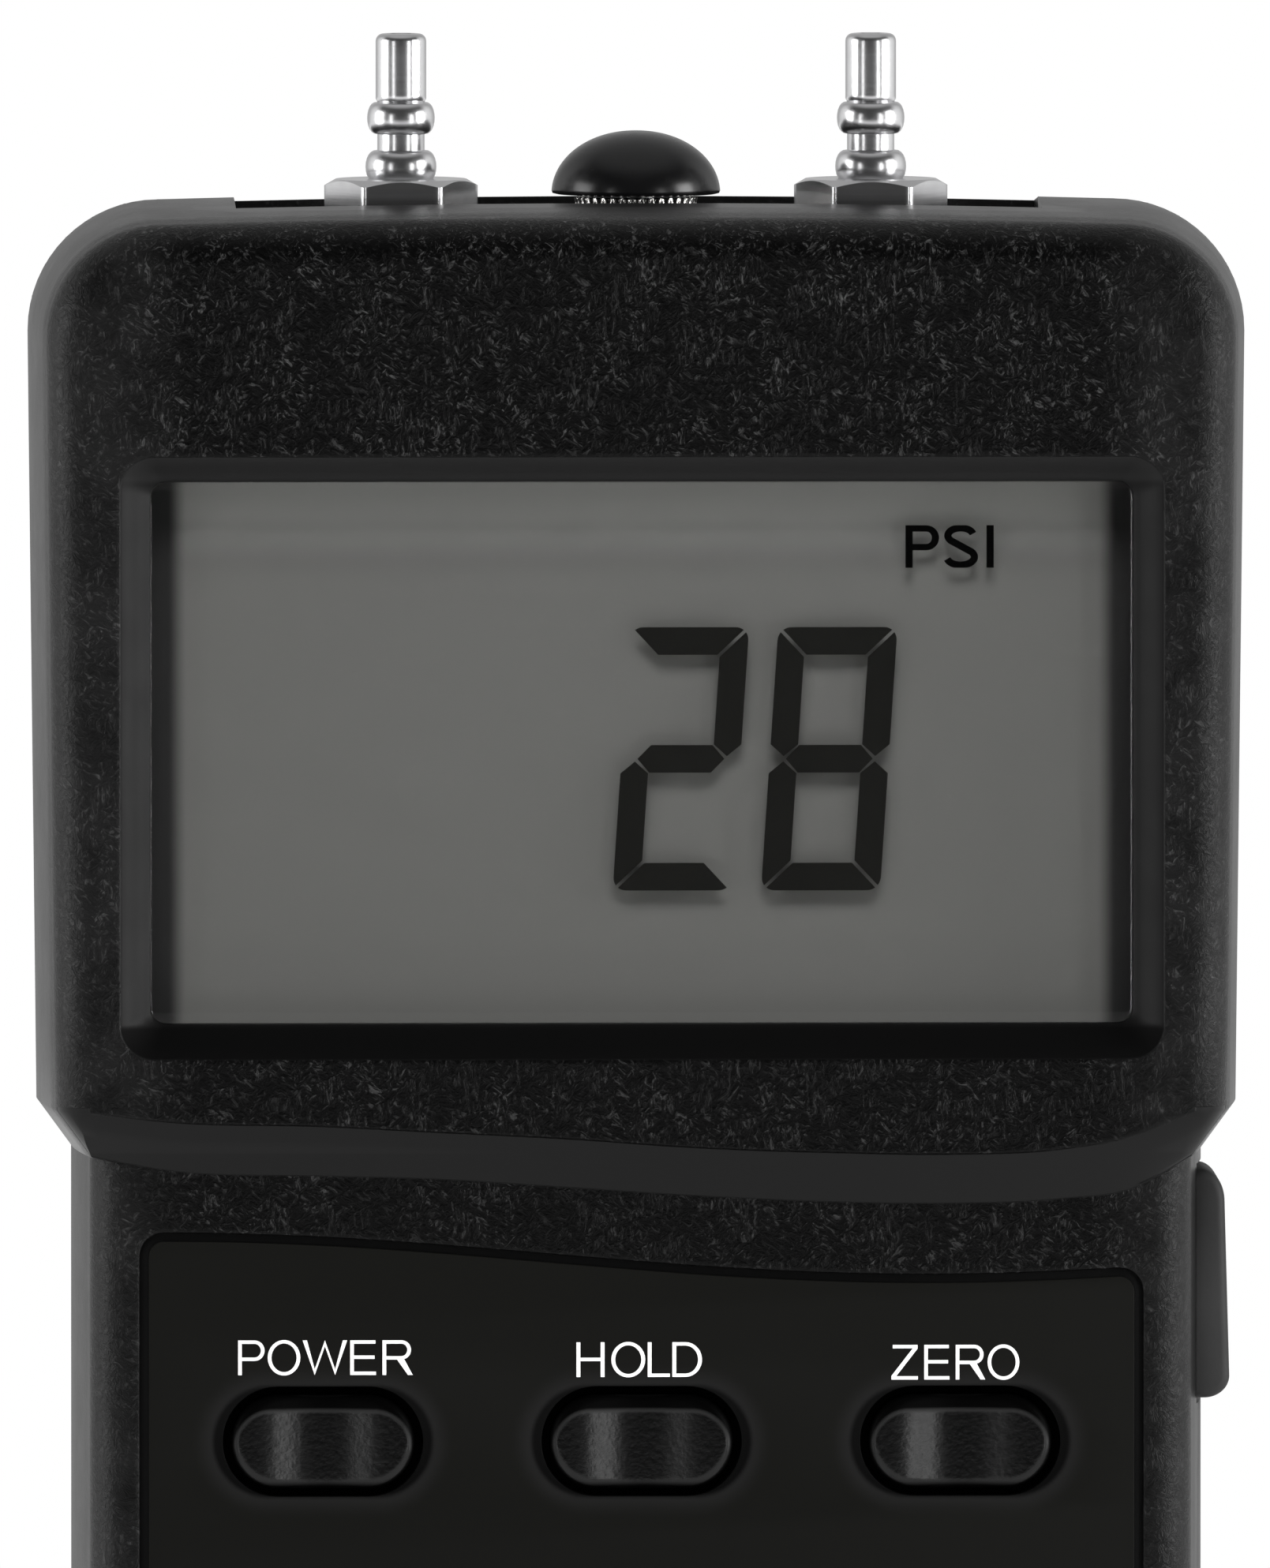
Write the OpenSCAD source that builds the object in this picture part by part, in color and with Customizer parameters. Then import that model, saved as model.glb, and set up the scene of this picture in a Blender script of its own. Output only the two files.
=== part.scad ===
// Hand-held digital manometer with two hose fittings, a zero trim knob, a display and a keypad.
// It stands upright: X runs across the front, the front faces -Y and Z runs up the case.

/* [Case] */
// Length of the case without the fittings
case_len = 180; // [170:1:200]
// Depth of the case from its front face to its back face
case_depth = 32; // [31:0.5:36]
// Width of the head near its top
head_top_w = 72; // [71.5:0.5:76]
// How much narrower the head gets on each side down to its shoulders
head_taper = 0.5; // [0:0.1:1]
// Width of the step at each shoulder
shoulder_in = 2.05; // [1:0.05:3]
// Length of the head from the top down to its shoulders
head_len = 53.6; // [53:0.2:54.4]
// Height of the slope below each shoulder
shoulder_h = 2.8; // [2:0.1:4]
// How far the head stands in front of the grip
face_step = 2; // [1.6:0.1:2.4]
// Wall thickness of both case halves
wall = 2.2; // [1.8:0.1:2.4]
// Radius of the head's top corners
head_corner_r = 7.7; // [6:0.1:9]
// Radius of the bottom corners
foot_corner_r = 9; // [6:0.5:9]
// Rise of the crowned top edge
top_crown = 0.4; // [0.1:0.1:1]
// Lean of the side walls from the parting line to the rounded edge
draft = 0.9; // [0.3:0.1:1]
// Width of the rounded front and back edges
edge_run = 2.5; // [1.5:0.1:2.8]
// Depth of the rounded front and back edges
edge_rise = 3; // [2:0.1:4]
// Lowest point of the head's lower front edge below its shoulders
upper_sag = 2.45; // [1:0.05:3]
// Lowest point of the band's lower edge below the grip's corners
lower_sag = 2.85; // [1:0.05:3.2]

/* [Display] */
// Distance from the head's side to the display lens
window_side = 6.55; // [6:0.05:9]
// Distance from the top to the display lens
window_top = 16.5; // [15:0.1:20]
// Distance from the display lens down to the shoulders
window_foot = 5.1; // [4.5:0.1:8]
// Corner radius of the lens
window_corner_r = 0.9; // [0.5:0.1:2]
// Width of the sloped sides of the window recess
bezel_side = 1.9; // [1:0.1:2.2]
// Width of the slope above the lens
bezel_top = 1.6; // [1:0.1:2.2]
// Width of the slope below the lens
bezel_bottom = 2.1; // [1:0.1:2.5]
// Depth of the window recess down to the lens
bezel_drop = 1.4; // [0.8:0.1:1.5]
// Thickness of the lens
lens_t = 1.5; // [1:0.1:1.6]
// How far the display glass reaches past each side of the lens
glass_side = 1.05; // [0.3:0.05:1.3]
// How far the display glass reaches past the lens above and below
glass_end = 3.2; // [2.6:0.1:3.3]
// Thickness of each of the two display glasses
glass_t = 1.1; // [0.9:0.1:1.2]

/* [Keypad] */
// Distance from the grip's side to the keypad label
panel_side = 4.25; // [4:0.05:6]
// Distance of the label's upper left corner below the shoulders
panel_margin = 7.3; // [7:0.1:9]
// Fall of the label's top edge towards the right
panel_fall = 2.75; // [1:0.05:3.5]
// Height of the label at its left side
panel_h = 43; // [41:0.5:47]
// Thickness of the label
panel_t = 0.35; // [0.2:0.05:0.45]
// Width of a key
key_w = 10.8; // [9.5:0.1:11.4]
// Height of a key
key_h = 5.5; // [4.8:0.1:5.8]
// Gap between a key and its hole
key_gap = 0.5; // [0.3:0.05:0.6]
// Distance from the label's side to the outer keys of the upper row
key_side = 5; // [4.6:0.1:7]
// Distance of the upper row of keys below the label's upper left corner
key_margin = 12.3; // [11.7:0.1:14]
// Distance between the two rows of keys
key_row_step = 19; // [17:0.5:19.5]
// How far a key is pressed in
key_travel = 0.8; // [0.4:0.1:0.9]

/* [Ports and knob] */
// Gap between the knob and the flats of each hexagon
port_gap = 4.9; // [4:0.1:6]
// Radius of the plain stem of a fitting
stem_r = 1.5; // [1.2:0.05:1.9]
// Radius of the upper bead of a fitting
upper_bead_r = 2; // [1.9:0.05:2.3]
// Radius of the lower bead of a fitting
lower_bead_r = 2.1; // [2:0.05:2.4]
// Height of a fitting above its seat
port_rise = 10.6; // [9.5:0.1:12]
// Radius of the air passage
passage_r = 0.8; // [0.5:0.05:1]
// Width across the flats of the hexagons
hex_flats = 8; // [7:0.1:8.6]
// Thickness of a fitting's hexagon
hex_t = 2; // [1.5:0.1:2.2]
// Radius of the fitting's thread
thread_r = 2.5; // [2:0.05:2.7]
// Radius of the trim knob
knob_r = 5; // [4.2:0.1:5.6]
// Height of the trim knob's dome
knob_h = 3.7; // [3:0.1:5]
// Radius of the knurled ring nut under the knob
ring_nut_r = 3.7; // [3.3:0.1:4]

/* [Back and side] */
// Width of the tilt stand
stand_w = 34; // [28:0.5:38]
// Length of the tilt stand
stand_len = 56; // [50:1:58]
// Thickness of the tilt stand
stand_t = 2.2; // [1.6:0.1:2.4]
// Width of the battery door
door_w = 35; // [33:0.5:40]
// Thickness of the battery door
door_t = 2.1; // [1.6:0.1:2.2]
// Height of the side cover
cover_h = 13.6; // [13.4:0.1:14]
// Width of the side cover's plate, front to back
cover_w = 8.8; // [8.4:0.1:9.4]
// How far the side cover stands out of the case
cover_rise = 1.5; // [1:0.1:1.6]
// Distance of the side cover's centre below the shoulders
cover_margin = 10.7; // [10.3:0.1:12]

/* [Hidden] */

// Sizes that follow the head, the grip and the insert in the top
head_low_w = head_top_w - 2 * head_taper;
grip_w = head_low_w - 2 * shoulder_in;
window_w = head_low_w - 2 * window_side;
window_h = head_len - window_top - window_foot;
window_drop = window_top + window_h / 2;
glass_w = window_w + 2 * glass_side;
glass_h = window_h + 2 * glass_end;
panel_w = grip_w - 2 * panel_side;
panel_top_drop = head_len + panel_margin;
key_drop = panel_top_drop + key_margin;
key_pitch = (panel_w - key_w) / 2 - key_side;
cover_drop = head_len + cover_margin;
port_x = knob_r + port_gap + hex_flats / 2;
plate_end = 9.6;
plate_w = 2 * (port_x + plate_end);

// Shared clearances and drawing values
overrun = 1;
loose_gap = 0.3;
slip_gap = 0.1;
run_gap = 0.05;
arc_steps = 6;
curve_fn = 48;
hull_fn = 24;
$fn = curve_fn;

// Planes from front to back
face_y = -case_depth / 2;
back_y = case_depth / 2;
grip_y = face_y + face_step;
lens_y = face_y + bezel_drop;
lens_back_y = lens_y + lens_t;
ledge_t = 0.8;
glass_y = lens_back_y + ledge_t + slip_gap;
reflector_t = 0.3;
reflector_y = glass_y + 2 * glass_t;
reflector_back_y = reflector_y + reflector_t;
grip_wall_y = grip_y + wall;
board_gap = 4.6;
board_y = grip_wall_y + board_gap;
board_t = 1.6;
board_back_y = board_y + board_t;

// Levels of the shoulders
shoulder_z = case_len - head_len;
shoulder_low_z = shoulder_z - shoulder_h;
window_z = case_len - window_drop;
key_row_z = case_len - key_drop;
panel_top_z = case_len - panel_top_drop;
panel_low_z = panel_top_z - panel_h;

// The head's lower edge and the band's lower edge: shares of the width and of the sag
upper_run_shares = [0.02, 0.07, 0.21, 0.31, 0.44, 0.54, 0.68, 0.78, 0.88, 0.95, 0.98];
upper_sag_shares = [0.06, 0.2, 0.31, 0.45, 0.63, 0.82, 0.96, 1, 0.88, 0.53, 0.22];
lower_run_shares = [0, 0.07, 0.21, 0.31, 0.44, 0.54, 0.68, 0.78, 0.88, 0.95, 1];
lower_sag_shares = [0, 0.29, 0.41, 0.47, 0.66, 0.81, 0.96, 0.99, 0.9, 0.66, 0];

// Display pieces
ledge_side = 1.3;
ledge_rim = 0.4;
frame_wall = 1.3;
frame_w = glass_w + 2 * slip_gap + 2 * frame_wall;
frame_h = glass_h + 2 * slip_gap + 2 * frame_wall;
frame_floor_t = 1;
hollow_low_z = window_z - frame_h / 2 - loose_gap;
glass_step = 5.4;
rear_glass_h = glass_h - glass_step;
strip_h = 1.8;
strip_margin = 3;
strip_w = glass_w - 2 * strip_margin;
strip_z = (glass_h + rear_glass_h) / 4;

// Keypad pieces
panel_drop = 0.5;
panel_corner_r = 1;
panel_gap = 0.4;
panel_wave_turn = 225;
panel_steps = 16;
panel_back_y = grip_y + panel_drop;
key_proud = 0.2;
key_y = grip_y - key_proud;
key_flange = 1.3;
key_flange_t = 0.8;
key_flange_y = grip_wall_y + 2 * slip_gap;
key_stem_w = 6.4;
key_stem_h = 3;
key_stem_end_y = board_y - key_travel - slip_gap;
key_edge_r = 0.55;
key_dish_r = 14;
key_dish_drop = 0.45;
key_places = [[-key_pitch, key_row_z], [0, key_row_z], [key_pitch, key_row_z],
    [-key_pitch / 2, key_row_z - key_row_step], [key_pitch / 2, key_row_z - key_row_step]];
mat_t = 1.2;
mat_ring_h = 1.3;
mat_ring_wall = 1.2;
mat_side = 4.2;
mat_w = panel_w - 2 * mat_side;
mat_h = 34;

// Board
board_side = 3.5;
board_head_w = head_low_w - 2 * board_side;
board_grip_w = grip_w - 2 * board_side;
board_low_z = 63;
board_top_drop = 13;
board_top_z = case_len - board_top_drop;
board_neck_z = hollow_low_z + loose_gap;
board_screw_side = 5.85;
board_screw_x = grip_w / 2 - board_screw_side;
board_screw_drop = 8.8;
board_screw_margin = 3;
board_screw_zs = [key_row_z - board_screw_drop, board_low_z + board_screw_margin];
board_post_r = 2.6;
board_screw_r = 0.9;
board_screw_head_r = 1.9;
board_screw_head_t = 1.2;
board_screw_bite = 3;

// Larger parts on the board: each row is x, height above the board's foot, width, height and thickness
chips = [[-12, 33, 14, 14, 1.6], [12, 31, 10, 12, 1.8], [-18, 15, 8, 5, 3.5], [16, 13, 11, 4.6, 3.6],
    [-2, 20, 6, 5, 1.5], [-21, 51, 5, 9, 1.5]];

// Port plate and what it carries
plate_d = 14.4;
plate_lip = 2;
plate_lip_t = 1.5;
plate_step = 2.4;
plate_lip_top_z = case_len - top_crown - wall - draft - slip_gap;
plate_z = plate_lip_top_z + plate_step;
plate_low_z = plate_lip_top_z - plate_lip_t;
plate_corner_r = 1.5;
port_nut_t = 2.4;
thread_end = 0.8;
shank_len = plate_z - plate_low_z + port_nut_t + thread_end;
inner_stem_r = 1.1;
inner_stem_len = 5.5;
seal_ring_r = 3;
seal_cord_r = 0.4;
neck_relief = 0.1;
bead_half = 1;
bead_rise = 0.7;
bead_pitch = 2.9;
tip_chamfer = 0.4;

// Knob, potentiometer and shaft
pot_bush_r = 2.75;
pot_body = 9.6;
pot_body_h = 7.6;
pot_shaft_r = 1.5;
ring_nut_t = 0.95;
ring_nut_teeth = 30;
tooth_cut_r = 0.2;
knob_lift = 0.15;
knob_rim = 0.2;
knob_z = plate_z + ring_nut_t + knob_lift;
knob_socket_h = 2.2;
pot_collar_r = 2.6;
pot_collar_t = 1.2;
pot_lead_r = 0.4;
pot_lead_pitch = 2.5;
pot_lead_len = 3;
pot_seat_drop = 1;

// Pressure sensor and hoses
sensor_w = 20;
sensor_h = 15;
sensor_t = 8.6;
sensor_drop = 46;
sensor_z = case_len - sensor_drop;
sensor_port_x = 5;
sensor_port_len = 5;
sensor_foot = 4;
sensor_foot_t = 2;
hose_r = 2.1;
hose_bend_r = 7;
hose_sides = 12;

// Side sockets, their cover and its pin
socket_z = case_len - cover_drop;
socket_pitch = 6.6;
side_x = grip_w / 2;
socket_body_len = 11.4;
socket_face_side = 5.05;
socket_face_x = side_x - socket_face_side;
socket_body_x = socket_face_x - socket_body_len;
socket_h = 6.2;
socket_d = 5;
socket_nose_r = 2.9;
socket_axis_y = board_back_y + socket_d / 2;
socket_depth = 11;
data_hole_r = 1.8;
dc_hole_r = 2.1;
dc_pin_r = 0.6;
dc_pin_drop = 1;
cover_recess_t = 1.15;
recess_floor_x = side_x - cover_recess_t;
nose_end_x = recess_floor_x - slip_gap;
pad_x = socket_face_x + slip_gap;
cover_low_z = socket_z - cover_h / 2;
cover_back_x = recess_floor_x + slip_gap;
cover_front_x = side_x + cover_rise;
cover_front_reach = 4.3;
cover_front_y = socket_axis_y - cover_front_reach;
cover_pin_r = 0.5;
cover_barrel_r = 1;
cover_pivot_inset = 0.55;
cover_pivot_x = side_x - cover_pivot_inset;
cover_pivot_y = cover_front_y + cover_w + cover_barrel_r + 2 * slip_gap;
cover_end_r = 1.1;
cover_taper = 0.3;
pin_grip = 1.4;

// Tilt stand
stand_rod_r = 1;
stand_barrel_r = 1.45;
stand_y = back_y - stand_barrel_r - slip_gap;
stand_recess_t = stand_t + loose_gap;
stand_notch_r = 7;
stand_rod_grip = 2.4;
stand_pockets = 3;
stand_rib_w = 1.6;
groove_count = 5;
groove_w = 12;
groove_h = 1;
groove_t = 0.5;
groove_step = 2.4;
groove_margin = 5;

// Battery and its bay
battery_w = 26.5;
battery_d = 17.2;
battery_h = 46.4;
battery_corner_r = 2;
battery_terminal_h = 2.2;
terminal_x = 6.35;
small_terminal_r = 2.7;
large_terminal_r = 4;
bay_gap = 0.3;
bay_wall = 1.2;
bay_low_z = 7.5;
bay_front_y = back_y - door_t - battery_d - 2 * bay_gap;
bay_w = battery_w + 2 * bay_gap;
battery_low_z = bay_low_z + bay_gap;
battery_y = bay_front_y + bay_gap / 2;
battery_top_z = battery_low_z + battery_h;
snap_t = 3.6;
snap_w = 25.5;
snap_d = 12;
snap_corner_r = 3;
snap_z = battery_top_z + bay_gap;
lead_room = 2.4;
bay_top_z = snap_z + snap_t + lead_room;
lead_r = 0.7;
lead_x = 5;
lead_bend_r = 3;
lead_rise = 3;
door_margin = 1.9;
door_low_z = bay_low_z - door_margin;
door_screw_margin = 2.2;
door_screw_z = bay_top_z + bay_wall + door_screw_margin;
door_top_margin = 3.4;
door_top_z = door_screw_z + door_top_margin;
door_screw_r = 1;
door_screw_head_r = 2;
door_screw_head_t = 1.1;
door_screw_len = 7;
door_post_r = 2.5;

// Levels of the stand, above the battery door
stand_margin = 2;
stand_low_z = door_top_z + stand_notch_r + stand_margin;
stand_top_z = stand_low_z + stand_len;

// Case screws
head_screw_side = 7;
head_screw_x = head_low_w / 2 - head_screw_side;
head_screw_drop = 8.4;
head_screw_z = case_len - head_screw_drop;
foot_screw_side = 7.95;
foot_screw_x = grip_w / 2 - foot_screw_side;
foot_screw_z = 10;
case_screw_places = [[head_screw_x, head_screw_z], [-head_screw_x, head_screw_z],
    [foot_screw_x, foot_screw_z], [-foot_screw_x, foot_screw_z]];
case_post_r = 3;
case_screw_r = 1.2;
case_screw_head_r = 2.2;
case_screw_head_t = 1.5;
case_screw_seat_y = 7;
case_screw_bite = 8;

// The cross in each screw's head: its length as a share of the head, its width and its depth
cross_share = 0.62;
cross_w = 0.6;
cross_t = 0.6;
plate_rib_w = 3;
plate_rib_t = 1.2;

// Points of an arc, from angle a0 to a1, around [cx, cz]
function arc(cx, cz, r, a0, a1) = [for (i = [0:arc_steps])
    let (a = a0 + (a1 - a0) * i / arc_steps) [cx + r * cos(a), cz + r * sin(a)]];

// Crowned run across the top between two corners, seen from the front, right to left
function crown(half, z, rise) = [for (i = [1:3])
    let (s = 1 - i / 2) [half * s, z + rise * (1 - s * s)]];

// The head's outline, drawn in by d, with its lower edge t of the way down the band
function head_outline(d, t) = let (
        top = head_top_w / 2 - d,
        low = head_low_w / 2 - d,
        grip = grip_w / 2 - d,
        r = head_corner_r - d,
        z = case_len - top_crown - d)
    concat(
        [[low, shoulder_z]],
        arc(top - r, z - r, r, 0, 90),
        crown(top - r, z, top_crown),
        arc(-top + r, z - r, r, 90, 180),
        [[-low, shoulder_z]],
        [for (i = [0:len(upper_run_shares) - 1]) let (
                up = [low * (2 * upper_run_shares[i] - 1), shoulder_z - upper_sag * upper_sag_shares[i]],
                down = [grip * (2 * lower_run_shares[i] - 1),
                    shoulder_low_z - lower_sag * lower_sag_shares[i]])
            up + t * (down - up)]);

// A rounded block's outline with its own half widths, levels and corner radii
function block_outline(low, top, z0, z1, r0, r1, rise) = concat(
    arc(low - r0, z0 + r0, r0, -90, 0),
    arc(top - r1, z1 - r1, r1, 0, 90),
    crown(top - r1, z1, rise),
    arc(-top + r1, z1 - r1, r1, 90, 180),
    arc(-low + r0, z0 + r0, r0, 180, 270));

// The flat foot: how far it is drawn in where the side walls are drawn in by d
function foot_inset(d) = max(0, d - draft);

// The whole case's outline, drawn in by d and by a wall w: foot corners, grip, shoulders and head
function case_outline(d, w) = let (
        top = head_top_w / 2 - d - w,
        low = head_low_w / 2 - d - w,
        grip = grip_w / 2 - d - w,
        r = head_corner_r - d - w,
        f = foot_corner_r - d - w,
        foot = foot_inset(d) + w,
        z = case_len - top_crown - d - w)
    concat(
        arc(grip - f, foot + f, f, -90, 0),
        [[grip, shoulder_low_z], [low, shoulder_z]],
        arc(top - r, z - r, r, 0, 90),
        crown(top - r, z, top_crown),
        arc(-top + r, z - r, r, 90, 180),
        [[-low, shoulder_z], [-grip, shoulder_low_z]],
        arc(-grip + f, foot + f, f, 180, 270));

// Edge profile: how deep each ring lies behind the face, and how far it is drawn in
function edge_profile(full, run, rise, lean) = concat(
    [for (i = [0:arc_steps]) let (a = 90 * i / arc_steps)
        [rise * (1 - cos(a)), lean + run * (1 - sin(a))]],
    [[full, 0]]);

// Sets a flat outline at depth y
function at_depth(outline, y) = [for (p = outline) [p[0], y, p[1]]];

// A closed solid through rings of points, capped from a point inside each end
module loft(rings, front_mid, back_mid) {
    n = len(rings[0]);
    m = len(rings);
    points = concat([for (ring = rings) each ring], [front_mid, back_mid]);
    faces = concat(
        [for (k = [0:m - 2]) for (i = [0:n - 1]) let (j = (i + 1) % n)
            each [[k * n + i, k * n + j, (k + 1) * n + j], [k * n + i, (k + 1) * n + j, (k + 1) * n + i]]],
        [for (i = [0:n - 1]) [m * n, (i + 1) % n, i]],
        [for (i = [0:n - 1]) [m * n + 1, (m - 1) * n + i, (m - 1) * n + (i + 1) % n]]);
    polyhedron(points, faces);
}

// The head's solid in the front half, from its face to the parting plane
module head_block() {
    steps = edge_profile(-face_y, edge_run, edge_rise, draft);
    mid_z = (case_len + shoulder_z) / 2;
    loft([for (s = steps) at_depth(head_outline(s[1], min(1, s[0] / face_step)), face_y + s[0])],
        [0, face_y, mid_z], [0, 0, mid_z]);
}

// The grip's solid in the front half, which ends inside the head
module grip_block() {
    steps = edge_profile(-grip_y, edge_run, edge_rise, draft);
    top_z = shoulder_z - shoulder_h / 2;
    loft([for (s = steps) at_depth(block_outline(grip_w / 2 - s[1], grip_w / 2 - s[1],
            foot_inset(s[1]), top_z, foot_corner_r - s[1], shoulder_h / 4, 0), grip_y + s[0])],
        [0, grip_y, top_z / 2], [0, 0, top_z / 2]);
}

// The head's hollow in the front half
module head_hollow() {
    depth = -face_y - wall;
    steps = edge_profile(depth, edge_run / 2, edge_rise / 2, draft);
    mid_z = (case_len + hollow_low_z) / 2;
    rings = [for (s = steps) at_depth(block_outline(head_low_w / 2 - wall - s[1],
        head_top_w / 2 - wall - s[1], hollow_low_z, case_len - top_crown - wall, shoulder_h / 4,
        head_corner_r - wall, 0), face_y + wall + s[0])];
    loft(concat(rings, [[for (p = rings[len(rings) - 1]) p + [0, overrun, 0]]]),
        [0, face_y + wall, mid_z], [0, overrun, mid_z]);
}

// The grip's hollow in the front half, which opens into the head's
module grip_hollow() {
    depth = -grip_wall_y;
    steps = edge_profile(depth, edge_run / 2, edge_rise / 2, draft);
    top_z = hollow_low_z + 2 * wall;
    rings = [for (s = steps) at_depth(block_outline(grip_w / 2 - wall - s[1], grip_w / 2 - wall - s[1],
        wall, top_z, foot_corner_r - wall, shoulder_h / 4, 0), grip_wall_y + s[0])];
    loft(concat(rings, [[for (p = rings[len(rings) - 1]) p + [0, overrun, 0]]]),
        [0, grip_wall_y, top_z / 2], [0, overrun, top_z / 2]);
}

// Turns a flat shape drawn in X and Z into a slab from y0 to y1
module slab(y0, y1) {
    translate([0, y1, 0])
        rotate([90, 0, 0])
            linear_extrude(y1 - y0)
                children();
}

// A rectangle with round corners, centred on [0, 0]
module round_rect(w, h, r) {
    square([w - 2 * r, h], center = true);
    square([w, h - 2 * r], center = true);
    for (x = [-1, 1])
        for (z = [-1, 1])
            translate([x * (w / 2 - r), z * (h / 2 - r)])
                circle(r);
}

// A long shape with half-round ends, w wide and h high
module stadium(w, h) {
    square([w - h, h], center = true);
    for (x = [-1, 1])
        translate([x * (w - h) / 2, 0])
            circle(h / 2);
}

// A rod along Y from y0 to y1
module rod_y(r, y0, y1) {
    translate([0, y1, 0])
        rotate([90, 0, 0])
            cylinder(r = r, h = y1 - y0);
}

// A round screw head from y0 to y1 with a cross sunk in its back
module screw_head(r, y0, y1) {
    difference() {
        rod_y(r, y0, y1);
        for (turn = [0, 90])
            rotate([0, turn, 0])
                span([-r * cross_share, y1 - cross_t, -cross_w / 2],
                    [r * cross_share, y1 + overrun, cross_w / 2]);
    }
}

// A rod along X from x0 to x1
module rod_x(r, x0, x1) {
    translate([x0, 0, 0])
        rotate([0, 90, 0])
            cylinder(r = r, h = x1 - x0);
}

// A box from its low corner to its high corner
module span(low, high) {
    translate(low)
        cube(high - low);
}

// A hexagonal prism with one flat to the front
module hexagon(flats, h) {
    cylinder(r = flats / sqrt(3), h = h, $fn = 6);
}

// The sloped window recess in the head's face
module window_recess() {
    mid = (bezel_top - bezel_bottom) / 2;
    outer_w = window_w + 2 * bezel_side;
    outer_h = window_h + bezel_top + bezel_bottom;
    hull() {
        slab(lens_y - run_gap, lens_y)
            translate([0, window_z])
                round_rect(window_w, window_h, window_corner_r, $fn = hull_fn);
        slab(face_y - run_gap, face_y)
            translate([0, window_z + mid])
                round_rect(outer_w, outer_h, window_corner_r + bezel_side / 2, $fn = hull_fn);
    }
    slab(face_y - overrun, face_y)
        translate([0, window_z + mid])
            round_rect(outer_w, outer_h, window_corner_r + bezel_side / 2);
}

// The keypad label's outline, grown by g all round, with its wavy top edge
module label_outline(g) {
    w = panel_w / 2 + g;
    r = panel_corner_r + g;
    low = panel_low_z - g;
    top = panel_top_z + g;
    run = 2 * (w - r);
    points = concat(
        arc(-w + r, low + r, r, 180, 270),
        arc(w - r, low + r, r, 270, 360),
        arc(w - r, top - panel_fall * (1 - cos(panel_wave_turn)) / 2 - r, r, 0, 90),
        [for (i = [1:panel_steps - 1]) let (s = 1 - i / panel_steps)
            [-w + r + run * s, top - panel_fall * (1 - cos(panel_wave_turn * s)) / 2]],
        arc(-w + r, top - r, r, 90, 180));
    polygon(points);
}

// Everything at the places of the case screws
module at_case_screws() {
    for (p = case_screw_places)
        translate([p[0], 0, p[1]])
            children();
}

// Everything at the places of the board screws
module at_board_screws() {
    for (x = [-1, 1])
        for (z = board_screw_zs)
            translate([x * board_screw_x, 0, z])
                children();
}

// The side recess that the cover closes, with the groove for its barrel
module cover_recess() {
    span([recess_floor_x, cover_front_y - loose_gap, cover_low_z - loose_gap],
        [side_x + overrun, cover_pivot_y + cover_barrel_r + loose_gap, cover_low_z + cover_h + loose_gap]);
    translate([cover_pivot_x, cover_pivot_y, cover_low_z - loose_gap])
        cylinder(r = cover_barrel_r + 3 * run_gap, h = cover_h + 2 * loose_gap);
}

// The thicker side wall around the sockets, between two depths
module socket_pad(y0, y1) {
    span([pad_x, y0, cover_low_z - 2 * wall], [side_x - draft, y1, cover_low_z + cover_h + wall]);
}

// The front half of the case, with its window, keypad seat and posts
module front_case() {
    hole_w = key_w + 2 * key_gap;
    hole_h = key_h + 2 * key_gap;
    color([0.1, 0.1, 0.1])
        difference() {
            union() {
                difference() {
                    union() {
                        head_block();
                        grip_block();
                    }
                    head_hollow();
                    grip_hollow();
                }
                slab(face_y + wall - run_gap, lens_back_y + ledge_t)
                    translate([0, window_z])
                        square([window_w + 2 * wall, window_h + 2 * wall], center = true);
                at_board_screws()
                    rod_y(board_post_r, grip_wall_y - run_gap, board_y);
                for (p = case_screw_places)
                    translate([p[0], 0, p[1]])
                        rod_y(case_post_r, (p[1] > shoulder_z ? face_y : grip_y) + wall / 2, 0);
                socket_pad(cover_front_y - wall, 0);
                for (x = [-1, 1])
                    translate([x * (plate_w / 2 - plate_rib_w / 2), 0, plate_low_z - slip_gap - plate_rib_t])
                        span([-plate_rib_w / 2, face_y + wall / 2, 0],
                            [plate_rib_w / 2, -plate_d / 2 + plate_lip, plate_rib_t]);
            }
            window_recess();
            slab(lens_y - overrun, lens_back_y)
                translate([0, window_z])
                    round_rect(window_w, window_h, window_corner_r);
            slab(lens_y - overrun, board_y)
                translate([0, window_z])
                    square([window_w - 2 * ledge_side, window_h - 2 * ledge_rim], center = true);
            slab(grip_y - overrun, panel_back_y)
                label_outline(panel_gap);
            for (p = key_places)
                slab(grip_y - overrun, grip_wall_y + overrun)
                    translate(p)
                        stadium(hole_w, hole_h);
            span([-plate_w / 2 - loose_gap, -plate_d / 2 - loose_gap, case_len - 2 * wall],
                [plate_w / 2 + loose_gap, overrun, case_len + overrun]);
            at_board_screws()
                rod_y(board_screw_r, board_y - board_screw_bite - slip_gap, board_y + overrun);
            at_case_screws()
                rod_y(case_screw_r, -case_screw_bite - loose_gap, overrun);
            cover_recess();
            for (s = [-1, 1])
                translate([0, socket_axis_y, socket_z + s * socket_pitch / 2])
                    rod_x(socket_nose_r + run_gap, pad_x - overrun, side_x);
        }
}

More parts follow.
